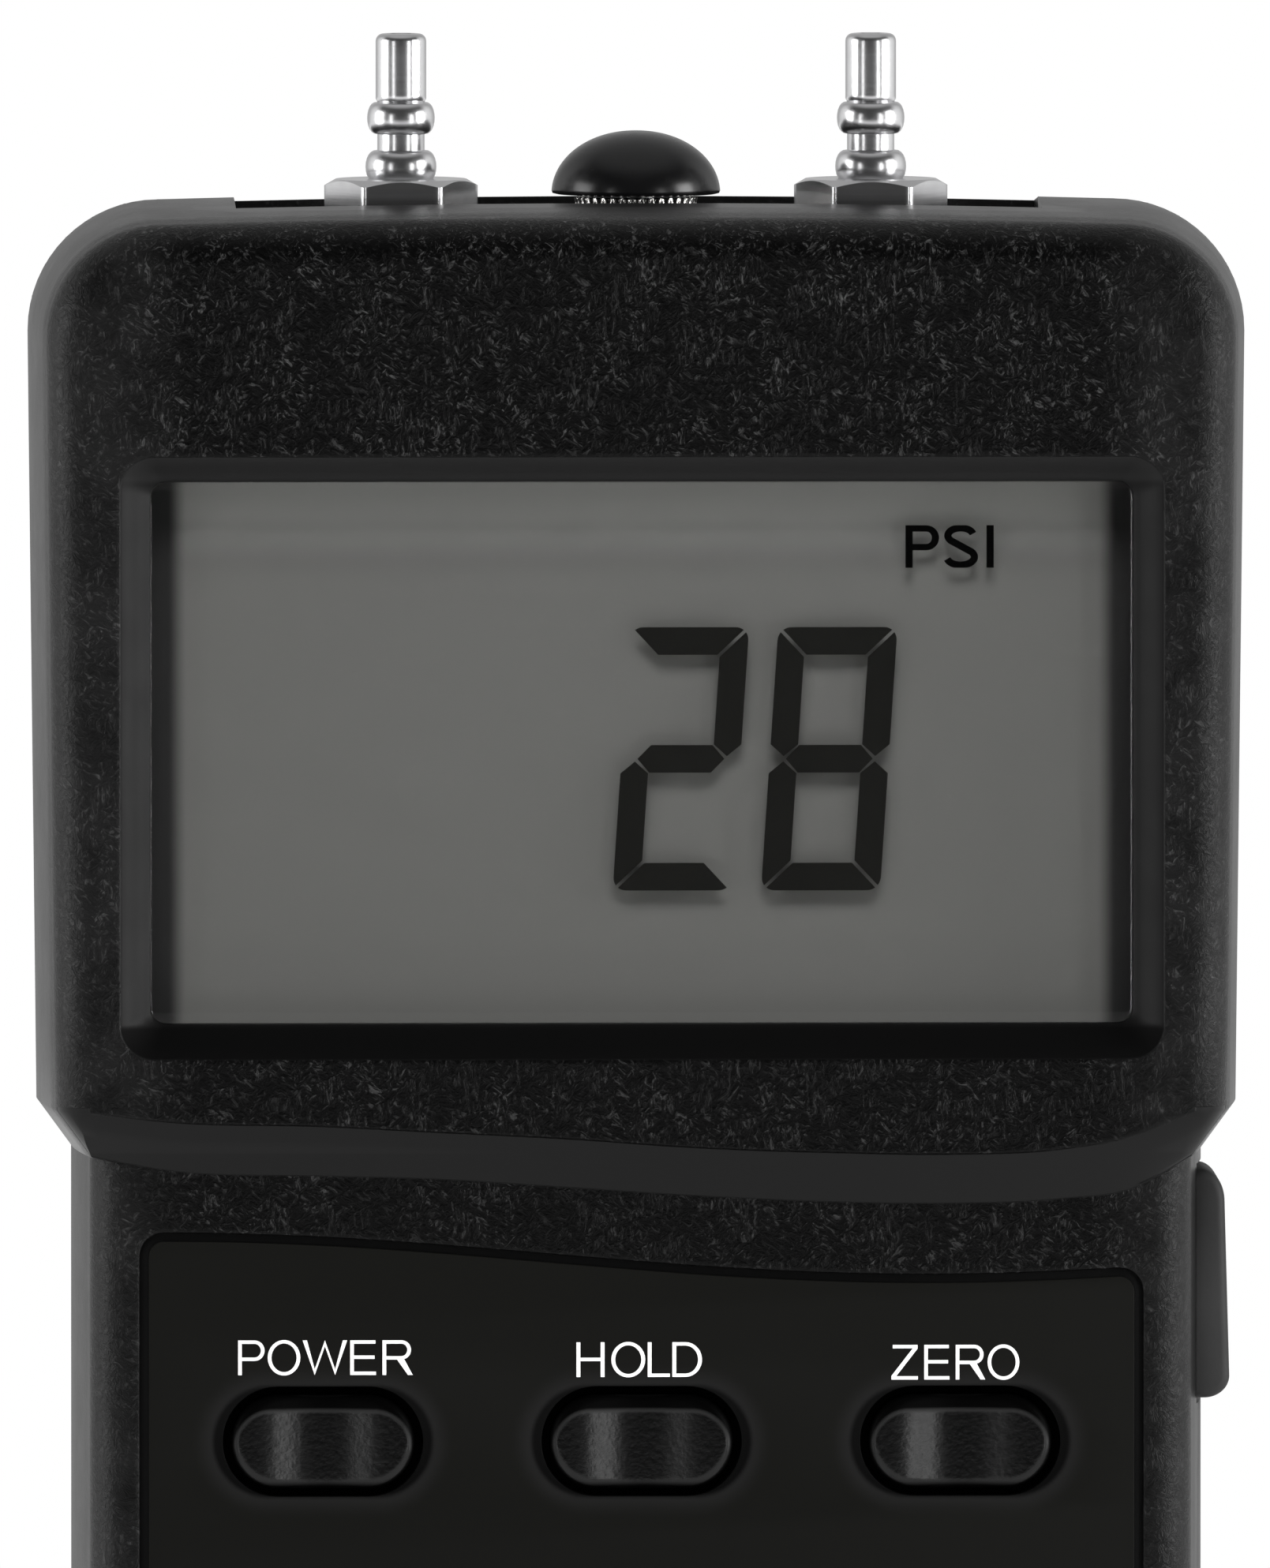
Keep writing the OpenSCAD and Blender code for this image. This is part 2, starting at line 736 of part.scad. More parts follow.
// The back half of the case, with the battery bay, the stand's seat and the screw posts
module rear_case() {
    steps = edge_profile(back_y, edge_run, edge_rise, draft);
    inner = edge_profile(back_y - wall, edge_run / 2, edge_rise / 2, draft);
    outer_rings = [for (i = [len(steps) - 1:-1:0])
        at_depth(case_outline(steps[i][1], 0), back_y - steps[i][0])];
    inner_rings = [for (i = [len(inner) - 1:-1:0])
        at_depth(case_outline(inner[i][1], wall), back_y - wall - inner[i][0])];
    first_ring = [[for (p = inner_rings[0]) p - [0, overrun, 0]]];
    color([0.11, 0.11, 0.11])
        difference() {
            union() {
                difference() {
                    loft(outer_rings, [0, 0, case_len / 2], [0, back_y, case_len / 2]);
                    loft(concat(first_ring, inner_rings), [0, -overrun, case_len / 2],
                        [0, back_y - wall, case_len / 2]);
                }
                span([-bay_w / 2 - bay_wall, bay_front_y - bay_wall, bay_low_z - bay_wall],
                    [bay_w / 2 + bay_wall, back_y - wall / 2, bay_top_z + bay_wall]);
                span([-door_w / 2 - wall, back_y - door_t - loose_gap - wall, door_low_z - wall],
                    [door_w / 2 + wall, back_y - wall / 2, door_top_z + wall]);
                span([-stand_w / 2 - stand_rod_grip - wall, back_y - stand_recess_t - wall,
                    stand_low_z - stand_notch_r - wall],
                    [stand_w / 2 + stand_rod_grip + wall, back_y - wall / 2,
                    stand_top_z + stand_barrel_r + wall]);
                translate([0, 0, door_screw_z])
                    rod_y(door_post_r, back_y - door_t - door_screw_len - wall, back_y - door_t - loose_gap);
                at_case_screws()
                    rod_y(case_post_r, 0, back_y - wall / 2);
                socket_pad(0, cover_pivot_y + cover_barrel_r + wall);
                for (x = [-1, 1])
                    translate([x * (plate_w / 2 - plate_rib_w / 2), 0, plate_low_z - slip_gap - plate_rib_t])
                        span([-plate_rib_w / 2, plate_d / 2 - plate_lip, 0],
                            [plate_rib_w / 2, back_y - wall / 2, plate_rib_t]);
            }
            span([-bay_w / 2, bay_front_y, bay_low_z], [bay_w / 2, back_y + overrun, bay_top_z]);
            span([-lead_x - 2 * lead_r, bay_front_y - bay_wall - overrun, bay_top_z - overrun],
                [lead_x + 2 * lead_r, battery_y + battery_d / 2 + 3 * lead_r,
                bay_top_z + bay_wall + overrun]);
            span([-door_w / 2, back_y - door_t - slip_gap, door_low_z],
                [door_w / 2, back_y + overrun, door_top_z]);
            translate([0, 0, door_screw_z])
                rod_y(door_screw_r + run_gap, back_y - door_t - door_screw_len, back_y);
            stand_seat();
            span([-plate_w / 2 - loose_gap, -overrun, case_len - 2 * wall],
                [plate_w / 2 + loose_gap, plate_d / 2 + loose_gap, case_len + overrun]);
            at_case_screws()
                rod_y(case_screw_r + slip_gap, -overrun, back_y);
            at_case_screws()
                rod_y(case_screw_head_r + loose_gap, case_screw_seat_y, back_y + overrun);
            cover_recess();
            translate([cover_pivot_x, cover_pivot_y, cover_low_z - pin_grip])
                cylinder(r = cover_pin_r + run_gap, h = cover_h + 2 * pin_grip);
        }
}

// The seat sunk into the back for the tilt stand, its rod and a fingertip
module stand_seat() {
    half = stand_w / 2 + loose_gap;
    span([-half, back_y - stand_recess_t, stand_low_z - loose_gap],
        [half, back_y + overrun, stand_top_z + stand_barrel_r + loose_gap]);
    span([-half, stand_y - stand_barrel_r - slip_gap, stand_top_z - 2 * stand_barrel_r],
        [half, back_y + overrun, stand_top_z + stand_barrel_r + loose_gap]);
    translate([0, 0, stand_low_z])
        rod_y(stand_notch_r, back_y - stand_recess_t, back_y + overrun);
    translate([0, stand_y, stand_top_z])
        rod_x(stand_rod_r + run_gap, -stand_w / 2 - stand_rod_grip, stand_w / 2 + stand_rod_grip);
}

// The clear lens glued into the window
module display_lens() {
    color([0.6, 0.62, 0.6, 0.35])
        slab(lens_y, lens_back_y)
            translate([0, window_z])
                round_rect(window_w - 2 * run_gap, window_h - 2 * run_gap, window_corner_r);
}

// The two glasses of the display cell, the front one taller to carry the contacts
module lcd_glass() {
    color([0.45, 0.46, 0.44])
        translate([0, 0, window_z]) {
            slab(glass_y, glass_y + glass_t)
                square([glass_w, glass_h], center = true);
            slab(glass_y + glass_t, glass_y + 2 * glass_t)
                square([glass_w, rear_glass_h], center = true);
        }
}

// The reflector film behind the cell
module lcd_reflector() {
    color([0.42, 0.42, 0.4])
        slab(reflector_y, reflector_back_y)
            translate([0, window_z])
                square([glass_w - 2 * slip_gap, rear_glass_h - 2 * slip_gap], center = true);
}

// The holder that clamps the cell and its contacts onto the board
module lcd_frame() {
    floor_y = reflector_back_y + slip_gap;
    color([0.15, 0.15, 0.15])
        translate([0, 0, window_z])
            difference() {
                slab(glass_y, board_y)
                    square([frame_w, frame_h], center = true);
                slab(glass_y - overrun, floor_y)
                    square([glass_w + 2 * slip_gap, glass_h + 2 * slip_gap], center = true);
                slab(floor_y + frame_floor_t, board_y + overrun)
                    square([frame_w - 4 * frame_wall, rear_glass_h - 2 * strip_h], center = true);
                for (z = [-1, 1])
                    slab(glass_y - overrun, board_y + overrun)
                        translate([0, z * strip_z])
                            square([strip_w + 2 * slip_gap, strip_h + 2 * slip_gap], center = true);
            }
}

// The two rubber contact strips between the cell and the board
module zebra_strips() {
    color([0.75, 0.45, 0.4])
        for (z = [-1, 1])
            slab(glass_y + glass_t, board_y)
                translate([0, window_z + z * strip_z])
                    square([strip_w, strip_h], center = true);
}

// The flat label on the grip, with a hole around each key
module keypad_label() {
    color([0.11, 0.11, 0.1])
        difference() {
            slab(panel_back_y - panel_t, panel_back_y)
                label_outline(0);
            for (p = key_places)
                slab(panel_back_y - panel_t - overrun, panel_back_y + overrun)
                    translate(p)
                        stadium(key_w + 2 * key_gap + slip_gap, key_h + 2 * key_gap + slip_gap);
        }
}

// The rubber sheet on the board, with a raised ring around each key's stem
module keypad_mat() {
    ring_w = key_stem_w + 2 * loose_gap + 2 * mat_ring_wall;
    ring_h = key_stem_h + 2 * loose_gap + 2 * mat_ring_wall;
    color([0.3, 0.3, 0.3])
        difference() {
            union() {
                slab(board_y - mat_t, board_y)
                    translate([0, key_row_z - key_row_step / 2])
                        round_rect(mat_w, mat_h, 2 * panel_corner_r);
                for (p = key_places)
                    slab(board_y - mat_t - mat_ring_h, board_y - mat_t / 2)
                        translate(p)
                            stadium(ring_w, ring_h);
            }
            for (p = key_places)
                slab(board_y - mat_t - mat_ring_h - overrun, board_y + overrun)
                    translate(p)
                        stadium(key_stem_w + 2 * loose_gap, key_stem_h + 2 * loose_gap);
        }
}

// Outline points of a stadium, seen from the front
function stadium_points(w, h) = concat(
    arc((w - h) / 2, 0, h / 2, -90, 90),
    arc(-(w - h) / 2, 0, h / 2, 90, 270));

// One rubber key: a dished cap with a round edge, a flange behind the case and a stem
module key(place) {
    cap_back_y = key_flange_y + key_flange_t / 2;
    steps = concat(
        [for (i = [0:3]) let (a = 30 * i) [key_edge_r * (1 - cos(a)), key_edge_r * (1 - sin(a))]],
        [[cap_back_y - key_y, 0]]);
    color([0.09, 0.09, 0.09])
        translate([place[0], 0, place[1]]) {
            difference() {
                loft([for (s = steps)
                    at_depth(stadium_points(key_w - 2 * s[1], key_h - 2 * s[1]), key_y + s[0])],
                    [0, key_y, 0], [0, cap_back_y, 0]);
                translate([0, key_y + key_dish_drop - key_dish_r, -key_h])
                    cylinder(r = key_dish_r, h = 2 * key_h);
            }
            slab(key_flange_y, key_flange_y + key_flange_t)
                stadium(key_w + 2 * key_flange, key_h + 2 * key_flange);
            slab(key_flange_y, key_stem_end_y)
                stadium(key_stem_w, key_stem_h);
        }
}

module power_key() {
    key(key_places[0]);
}

module hold_key() {
    key(key_places[1]);
}

module zero_key() {
    key(key_places[2]);
}

module unit_key() {
    key(key_places[3]);
}

module record_key() {
    key(key_places[4]);
}

// The circuit board, wide behind the display and notched beside the sockets
module main_board() {
    color([0.1, 0.35, 0.2])
        difference() {
            union() {
                span([-board_head_w / 2, board_y, board_neck_z],
                    [board_head_w / 2, board_back_y, board_top_z]);
                span([-board_grip_w / 2, board_y, board_low_z],
                    [board_grip_w / 2, board_back_y, board_neck_z]);
            }
            span([socket_face_x - loose_gap, board_y - overrun, cover_low_z - 2 * wall - loose_gap],
                [board_head_w, board_back_y + overrun, cover_low_z + cover_h + wall + loose_gap]);
            at_board_screws()
                rod_y(board_screw_r + slip_gap, board_y - overrun, board_back_y + overrun);
        }
}

// The larger parts on the back of the board
module board_parts() {
    color([0.08, 0.08, 0.08])
        for (c = chips)
            translate([c[0], 0, board_low_z + c[1]])
                slab(board_back_y, board_back_y + c[4])
                    square([c[2], c[3]], center = true);
}

// The four screws that hold the board to the front case
module board_screws() {
    color("silver")
        at_board_screws() {
            rod_y(board_screw_r, board_y - board_screw_bite, board_back_y + board_screw_head_t / 3);
            screw_head(board_screw_head_r, board_back_y, board_back_y + board_screw_head_t);
        }
}

// The insert in the top of the case that carries the fittings and the knob
module port_plate() {
    color([0.07, 0.07, 0.07])
        difference() {
            union() {
                translate([0, 0, plate_lip_top_z - run_gap])
                    linear_extrude(plate_step + run_gap)
                        round_rect(plate_w, plate_d, plate_corner_r);
                translate([0, 0, plate_low_z])
                    linear_extrude(plate_lip_t)
                        round_rect(plate_w + 2 * plate_lip, plate_d + 2 * plate_lip, plate_corner_r);
            }
            for (x = [-port_x, port_x])
                translate([x, 0, 0]) {
                    translate([0, 0, plate_low_z - overrun])
                        cylinder(r = thread_r + slip_gap, h = plate_z - plate_low_z + 2 * overrun);
                    translate([0, 0, plate_z - 2 * seal_cord_r])
                        cylinder(r = seal_ring_r + seal_cord_r + run_gap, h = overrun);
                }
            translate([0, 0, plate_low_z - overrun])
                cylinder(r = pot_bush_r + slip_gap, h = plate_z - plate_low_z + 2 * overrun);
        }
}

// Half profile of a turned bead between two radii, as points up its side
function bead(z, half, r0, r1) = [for (i = [0:arc_steps]) let (a = 180 * i / arc_steps)
    [r0 + (r1 - r0) * sin(a), z - half * cos(a)]];

// One hose fitting: beaded stem, chamfered hexagon, thread and inner stem, drilled through
module hose_port() {
    tip_z = port_rise;
    neck_r = stem_r - neck_relief;
    low_bead_z = hex_t + bead_rise;
    high_bead_z = low_bead_z + bead_pitch;
    chamfer = tip_chamfer;
    profile = concat(
        [[0, -shank_len - inner_stem_len], [inner_stem_r, -shank_len - inner_stem_len],
            [inner_stem_r, -shank_len], [thread_r, -shank_len], [thread_r, hex_t / 2],
            [neck_r, hex_t / 2]],
        bead(low_bead_z, bead_half, neck_r, lower_bead_r),
        bead(high_bead_z, bead_half, neck_r, upper_bead_r),
        [[stem_r, high_bead_z + bead_half + chamfer / 2], [stem_r, tip_z - chamfer],
            [stem_r - chamfer / 2, tip_z - chamfer / 3], [stem_r - chamfer, tip_z], [0, tip_z]]);
    chamfer_r = hex_flats / 2 - run_gap;
    difference() {
        union() {
            rotate_extrude()
                polygon(profile);
            intersection() {
                hexagon(hex_flats, hex_t);
                rotate_extrude()
                    polygon([[0, 0], [hex_flats, 0], [hex_flats, hex_t - (hex_flats - chamfer_r) * tan(30)],
                        [chamfer_r, hex_t], [0, hex_t]]);
            }
        }
        translate([0, 0, -shank_len - inner_stem_len - overrun])
            cylinder(r = passage_r, h = shank_len + inner_stem_len + tip_z + 2 * overrun);
    }
}

module positive_port() {
    color([0.85, 0.85, 0.86])
        translate([port_x, 0, plate_z])
            hose_port();
}

module negative_port() {
    color([0.85, 0.85, 0.86])
        translate([-port_x, 0, plate_z])
            hose_port();
}

// The nuts that clamp the fittings from inside
module port_nuts() {
    color([0.8, 0.75, 0.5])
        for (x = [-port_x, port_x])
            translate([x, 0, plate_low_z - port_nut_t])
                difference() {
                    hexagon(hex_flats, port_nut_t);
                    translate([0, 0, -overrun])
                        cylinder(r = thread_r + run_gap, h = port_nut_t + 2 * overrun);
                }
}

// The rubber rings under the hexagons
module port_seals() {
    color([0.05, 0.05, 0.05])
        for (x = [-port_x, port_x])
            translate([x, 0, plate_z - seal_cord_r])
                rotate_extrude()
                    translate([seal_ring_r, 0])
                        circle(seal_cord_r - run_gap / 2);
}

// The potentiometer under the plate, with its threaded bush and three leads
module trim_pot() {
    color([0.2, 0.3, 0.5])
        difference() {
            union() {
                span([-pot_body / 2, -pot_body / 2, plate_low_z - pot_body_h],
                    [pot_body / 2, pot_body / 2, plate_low_z]);
                translate([0, 0, plate_low_z - run_gap])
                    cylinder(r = pot_bush_r, h = plate_z + ring_nut_t - plate_low_z);
                for (i = [-1:1])
                    translate([i * pot_lead_pitch, pot_lead_r - pot_body / 2,
                        plate_low_z - pot_body_h - pot_lead_len])
                        cylinder(r = pot_lead_r, h = pot_lead_len + overrun);
            }
            translate([0, 0, plate_low_z - pot_collar_t - pot_seat_drop])
                cylinder(r = pot_collar_r + slip_gap, h = pot_collar_t + 2 * slip_gap);
            translate([0, 0, plate_low_z - pot_collar_t])
                cylinder(r = pot_shaft_r + run_gap, h = plate_z - plate_low_z + 2 * knob_h);
        }
}

// The round nut with a knurled edge that holds the potentiometer to the plate
module pot_nut() {
    color([0.8, 0.8, 0.8])
        translate([0, 0, plate_z])
            difference() {
                cylinder(r = ring_nut_r, h = ring_nut_t);
                translate([0, 0, -overrun])
                    cylinder(r = pot_bush_r + run_gap, h = ring_nut_t + 2 * overrun);
                for (i = [0:ring_nut_teeth - 1])
                    rotate([0, 0, 360 * i / ring_nut_teeth])
                        translate([ring_nut_r + tooth_cut_r / 3, 0, -overrun])
                            cylinder(r = tooth_cut_r, h = ring_nut_t + 2 * overrun, $fn = 16);
            }
}

// The steel shaft that turns in the bush, with its collar inside the potentiometer
module pot_shaft() {
    collar_z = plate_low_z - pot_collar_t - pot_seat_drop + slip_gap;
    color([0.7, 0.7, 0.7])
        union() {
            translate([0, 0, collar_z])
                cylinder(r = pot_shaft_r, h = knob_z + knob_socket_h - collar_z);
            translate([0, 0, collar_z])
                cylinder(r = pot_collar_r, h = pot_collar_t);
        }
}

// The domed knob pressed onto the shaft
module trim_knob() {
    dome = [for (i = [0:2 * arc_steps]) let (a = 90 * i / (2 * arc_steps))
        [knob_r * cos(a), knob_h * sin(a)]];
    color([0.08, 0.08, 0.08])
        translate([0, 0, knob_z])
            difference() {
                rotate_extrude()
                    polygon(concat([[0, 0], [knob_r - knob_rim, 0]],
                        [for (p = dome) [p[0], max(p[1], knob_rim)]]));
                translate([0, 0, -overrun])
                    cylinder(r = pot_shaft_r, h = knob_socket_h + overrun);
            }
}

// The differential pressure sensor on the board, with two stems for the hoses
module pressure_sensor() {
    top_z = sensor_z + sensor_h;
    color([0.85, 0.85, 0.8])
        union() {
            span([-sensor_w / 2, board_back_y, sensor_z], [sensor_w / 2, board_back_y + sensor_t, top_z]);
            span([-sensor_w / 2 - sensor_foot, board_back_y, sensor_z + sensor_foot],
                [sensor_w / 2 + sensor_foot, board_back_y + sensor_foot_t, top_z - sensor_foot]);
            for (x = [-1, 1])
                translate([x * sensor_port_x, 0, top_z - run_gap])
                    cylinder(r = inner_stem_r, h = sensor_port_len + run_gap);
        }
}

// The hose's route from the sensor up to the fitting, in two equal arcs: x, z and lean from upright
function hose_route() = let (
        top_z = plate_z - shank_len,
        low_z = sensor_z + sensor_h,
        turn = acos(1 - (port_x - sensor_port_x) / (2 * hose_bend_r)),
        end_h = (top_z - low_z - 2 * hose_bend_r * sin(turn)) / 2)
    concat(
        [[sensor_port_x, low_z, 0]],
        [for (i = [0:arc_steps]) let (a = turn * i / arc_steps)
            [sensor_port_x + hose_bend_r * (1 - cos(a)), low_z + end_h + hose_bend_r * sin(a), a]],
        [for (i = [arc_steps - 1:-1:0]) let (a = turn * i / arc_steps)
            [port_x - hose_bend_r * (1 - cos(a)), top_z - end_h - hose_bend_r * sin(a), a]],
        [[port_x, top_z, 0]]);

// A ring of points around one place of the route
function hose_ring(place, r) = [for (i = [0:hose_sides - 1]) let (a = 360 * i / hose_sides)
    [place[0] + r * cos(a) * cos(place[2]), r * sin(a), place[1] - r * cos(a) * sin(place[2])]];

// A soft hose from a fitting's inner stem down to the sensor, open right through
module inner_hose() {
    route = hose_route();
    n = hose_sides;
    m = len(route);
    flat_share = cos(180 / n);
    points = concat(
        [for (p = route) each hose_ring(p, hose_r)],
        [for (p = route) each hose_ring(p, (inner_stem_r + run_gap) / flat_share)]);
    walls = [for (k = [0:m - 2]) for (i = [0:n - 1])
        [k * n + i, (k + 1) * n + i, (k + 1) * n + (i + 1) % n, k * n + (i + 1) % n]];
    bores = [for (q = walls) [for (i = [3:-1:0]) q[i] + m * n]];
    low_cap = [for (i = [0:n - 1]) [i, (i + 1) % n, m * n + (i + 1) % n, m * n + i]];
    top_cap = [for (q = low_cap) [for (i = [3:-1:0]) q[i] + (m - 1) * n]];
    polyhedron(points, concat(walls, bores, low_cap, top_cap));
}

module positive_hose() {
    color([0.8, 0.8, 0.75])
        inner_hose();
}

module negative_hose() {
    color([0.8, 0.8, 0.75])
        mirror([1, 0, 0])
            inner_hose();
}

// A socket on the back of the board: its body, and a round nose in the case's side wall
module side_socket(z, hole_r) {
    translate([0, socket_axis_y, z])
        difference() {
            union() {
                span([socket_body_x, -socket_d / 2, -socket_h / 2],
                    [socket_face_x, socket_d / 2, socket_h / 2]);
                rod_x(socket_nose_r, socket_face_x - run_gap, nose_end_x);
            }
            rod_x(hole_r, nose_end_x - socket_depth, nose_end_x + overrun);
        }
}

module data_socket() {
    color([0.12, 0.12, 0.12])
        side_socket(socket_z + socket_pitch / 2, data_hole_r);
}

// The power socket, with its centre pin
module dc_socket() {
    z = socket_z - socket_pitch / 2;
    color([0.12, 0.12, 0.12])
        union() {
            side_socket(z, dc_hole_r);
            translate([0, socket_axis_y, z])
                rod_x(dc_pin_r, nose_end_x - socket_depth - run_gap, nose_end_x - dc_pin_drop);
        }
}

// The side cover: a plate with round ends that tapers upwards, and its hinge barrel
module port_cover() {
    color([0.1, 0.1, 0.1])
        difference() {
            union() {
                hull() {
                    for (z = [cover_low_z + cover_end_r, cover_low_z + cover_h - cover_end_r])
                        for (y = [cover_front_y + cover_end_r, cover_front_y + cover_w - cover_end_r]) {
                            translate([cover_back_x, y, z])
                                rod_x(cover_end_r, 0, side_x - cover_back_x, $fn = hull_fn);
                            translate([cover_back_x, y, z])
                                rod_x(cover_end_r / 2, 0, cover_front_x - cover_back_x
                                    - (z > socket_z ? cover_taper : 0), $fn = hull_fn);
                        }
                }
                translate([cover_pivot_x, cover_pivot_y, cover_low_z])
                    cylinder(r = cover_barrel_r, h = cover_h);
                span([cover_pivot_x - cover_barrel_r / 2, cover_front_y + cover_w / 2,
                    cover_low_z + cover_end_r],
                    [cover_pivot_x + cover_barrel_r, cover_pivot_y, cover_low_z + cover_h - cover_end_r]);
            }
            translate([cover_pivot_x, cover_pivot_y, cover_low_z - overrun])
                cylinder(r = cover_pin_r + run_gap, h = cover_h + 2 * overrun);
        }
}

// The steel pin that the side cover turns on
module cover_pin() {
    color("silver")
        translate([cover_pivot_x, cover_pivot_y, cover_low_z - pin_grip + slip_gap])
            cylinder(r = cover_pin_r, h = cover_h + 2 * pin_grip - 2 * slip_gap);
}

// The folding stand: a plate with pockets between its inner ribs, grip grooves and a barrel
module tilt_stand() {
    front_y = back_y - stand_t;
    pocket_w = (stand_w - (stand_pockets + 1) * stand_rib_w) / stand_pockets;
    pocket_len = stand_len - 8 * stand_barrel_r;
    color([0.1, 0.1, 0.1])
        difference() {
            union() {
                translate([0, 0, stand_low_z + stand_len / 2 - stand_barrel_r])
                    slab(front_y, back_y)
                        round_rect(stand_w, stand_len - 2 * stand_barrel_r, 2 * stand_barrel_r);
                translate([0, stand_y, stand_top_z])
                    rod_x(stand_barrel_r, -stand_w / 2, stand_w / 2);
                span([-stand_w / 2, stand_y, stand_top_z - 3 * stand_barrel_r],
                    [stand_w / 2, stand_y + stand_barrel_r, stand_top_z]);
            }
            for (i = [0:stand_pockets - 1])
                translate([(i - (stand_pockets - 1) / 2) * (pocket_w + stand_rib_w), 0,
                    stand_low_z + stand_len / 2 - stand_barrel_r])
                    slab(front_y - overrun, front_y + stand_t / 2)
                        round_rect(pocket_w, pocket_len, stand_rib_w);
            for (i = [0:groove_count - 1])
                translate([0, 0, stand_low_z + groove_margin + groove_step * i])
                    slab(back_y - groove_t, back_y + overrun)
                        stadium(groove_w, groove_h);
            translate([0, stand_y, stand_top_z])
                rod_x(stand_rod_r + run_gap, -stand_w, stand_w);
        }
}

// The steel rod that the stand turns on
module stand_pin() {
    color("silver")
        translate([0, stand_y, stand_top_z])
            rod_x(stand_rod_r, -stand_w / 2 - stand_rod_grip + slip_gap,
                stand_w / 2 + stand_rod_grip - slip_gap);
}

// The nine volt block battery with its two terminals
module battery() {
    mid_y = battery_y + battery_d / 2;
    color([0.25, 0.25, 0.3])
        union() {
            translate([0, mid_y, battery_low_z])
                linear_extrude(battery_h)
                    round_rect(battery_w, battery_d, battery_corner_r);
            translate([-terminal_x, mid_y, battery_top_z - run_gap])
                cylinder(r = large_terminal_r, h = battery_terminal_h);
            translate([terminal_x, mid_y, battery_top_z - run_gap])
                cylinder(r = small_terminal_r, h = battery_terminal_h);
        }
}

// The snap connector on the terminals
module battery_snap() {
    mid_y = battery_y + battery_d / 2;
    color([0.08, 0.08, 0.08])
        difference() {
            translate([0, mid_y, snap_z])
                linear_extrude(snap_t)
                    round_rect(snap_w, snap_d, snap_corner_r);
            translate([-terminal_x, mid_y, snap_z - overrun])
                cylinder(r = large_terminal_r + slip_gap, h = battery_terminal_h + overrun);
            translate([terminal_x, mid_y, snap_z - overrun])
                cylinder(r = small_terminal_r + slip_gap, h = battery_terminal_h + overrun);
        }
}

// The two leads, which rise from the connector and bend forward to the board
module battery_leads() {
    mid_y = battery_y + battery_d / 2;
    start_z = snap_z + snap_t;
    bend_z = board_low_z + lead_rise;
    color([0.5, 0.1, 0.1])
        for (x = [-lead_x, lead_x])
            translate([x, 0, 0]) {
                translate([0, mid_y, start_z])
                    cylinder(r = lead_r, h = bend_z - start_z);
                translate([0, mid_y - lead_bend_r, bend_z])
                    rotate([90, 0, 90])
                        rotate_extrude(angle = 90)
                            translate([lead_bend_r, 0])
                                circle(lead_r);
                translate([0, 0, bend_z + lead_bend_r])
                    rod_y(lead_r, board_back_y, mid_y - lead_bend_r);
            }
}

// The battery door, with grip grooves and the hole for its screw
module battery_door() {
    w = door_w - 2 * slip_gap;
    h = door_top_z - door_low_z - 2 * slip_gap;
    color([0.11, 0.11, 0.11])
        difference() {
            translate([0, 0, (door_low_z + door_top_z) / 2])
                slab(back_y - door_t, back_y)
                    square([w, h], center = true);
            for (i = [0:groove_count - 1])
                translate([0, 0, door_low_z + groove_margin + groove_step * i])
                    slab(back_y - groove_t, back_y + overrun)
                        stadium(groove_w, groove_h);
            translate([0, 0, door_screw_z]) {
                rod_y(door_screw_r + slip_gap, back_y - door_t - overrun, back_y + overrun);
                rod_y(door_screw_head_r + slip_gap, back_y - door_screw_head_t - slip_gap, back_y + overrun);
            }
        }
}

// The screw that stays in the battery door
module door_screw() {
    color("silver")
        translate([0, 0, door_screw_z]) {
            rod_y(door_screw_r, back_y - door_screw_len,
                back_y - door_screw_head_t + (door_screw_head_t - slip_gap - cross_t) / 2);
            screw_head(door_screw_head_r, back_y - door_screw_head_t, back_y - slip_gap);
        }
}

// The four screws that join the case halves
module case_screws() {
    color("silver")
        at_case_screws() {
            rod_y(case_screw_r, -case_screw_bite, case_screw_seat_y + case_screw_head_t / 2);
            screw_head(case_screw_head_r, case_screw_seat_y, case_screw_seat_y + case_screw_head_t);
        }
}

front_case();
rear_case();
display_lens();
lcd_glass();
lcd_reflector();
lcd_frame();
zebra_strips();
keypad_label();
keypad_mat();
power_key();
hold_key();
zero_key();
unit_key();
record_key();
main_board();
board_parts();
board_screws();
port_plate();
positive_port();
negative_port();
port_nuts();
port_seals();
trim_pot();
pot_nut();
pot_shaft();
trim_knob();
pressure_sensor();
positive_hose();
negative_hose();
data_socket();
dc_socket();
port_cover();
cover_pin();
tilt_stand();
stand_pin();
battery();
battery_snap();
battery_leads();
battery_door();
door_screw();
case_screws();
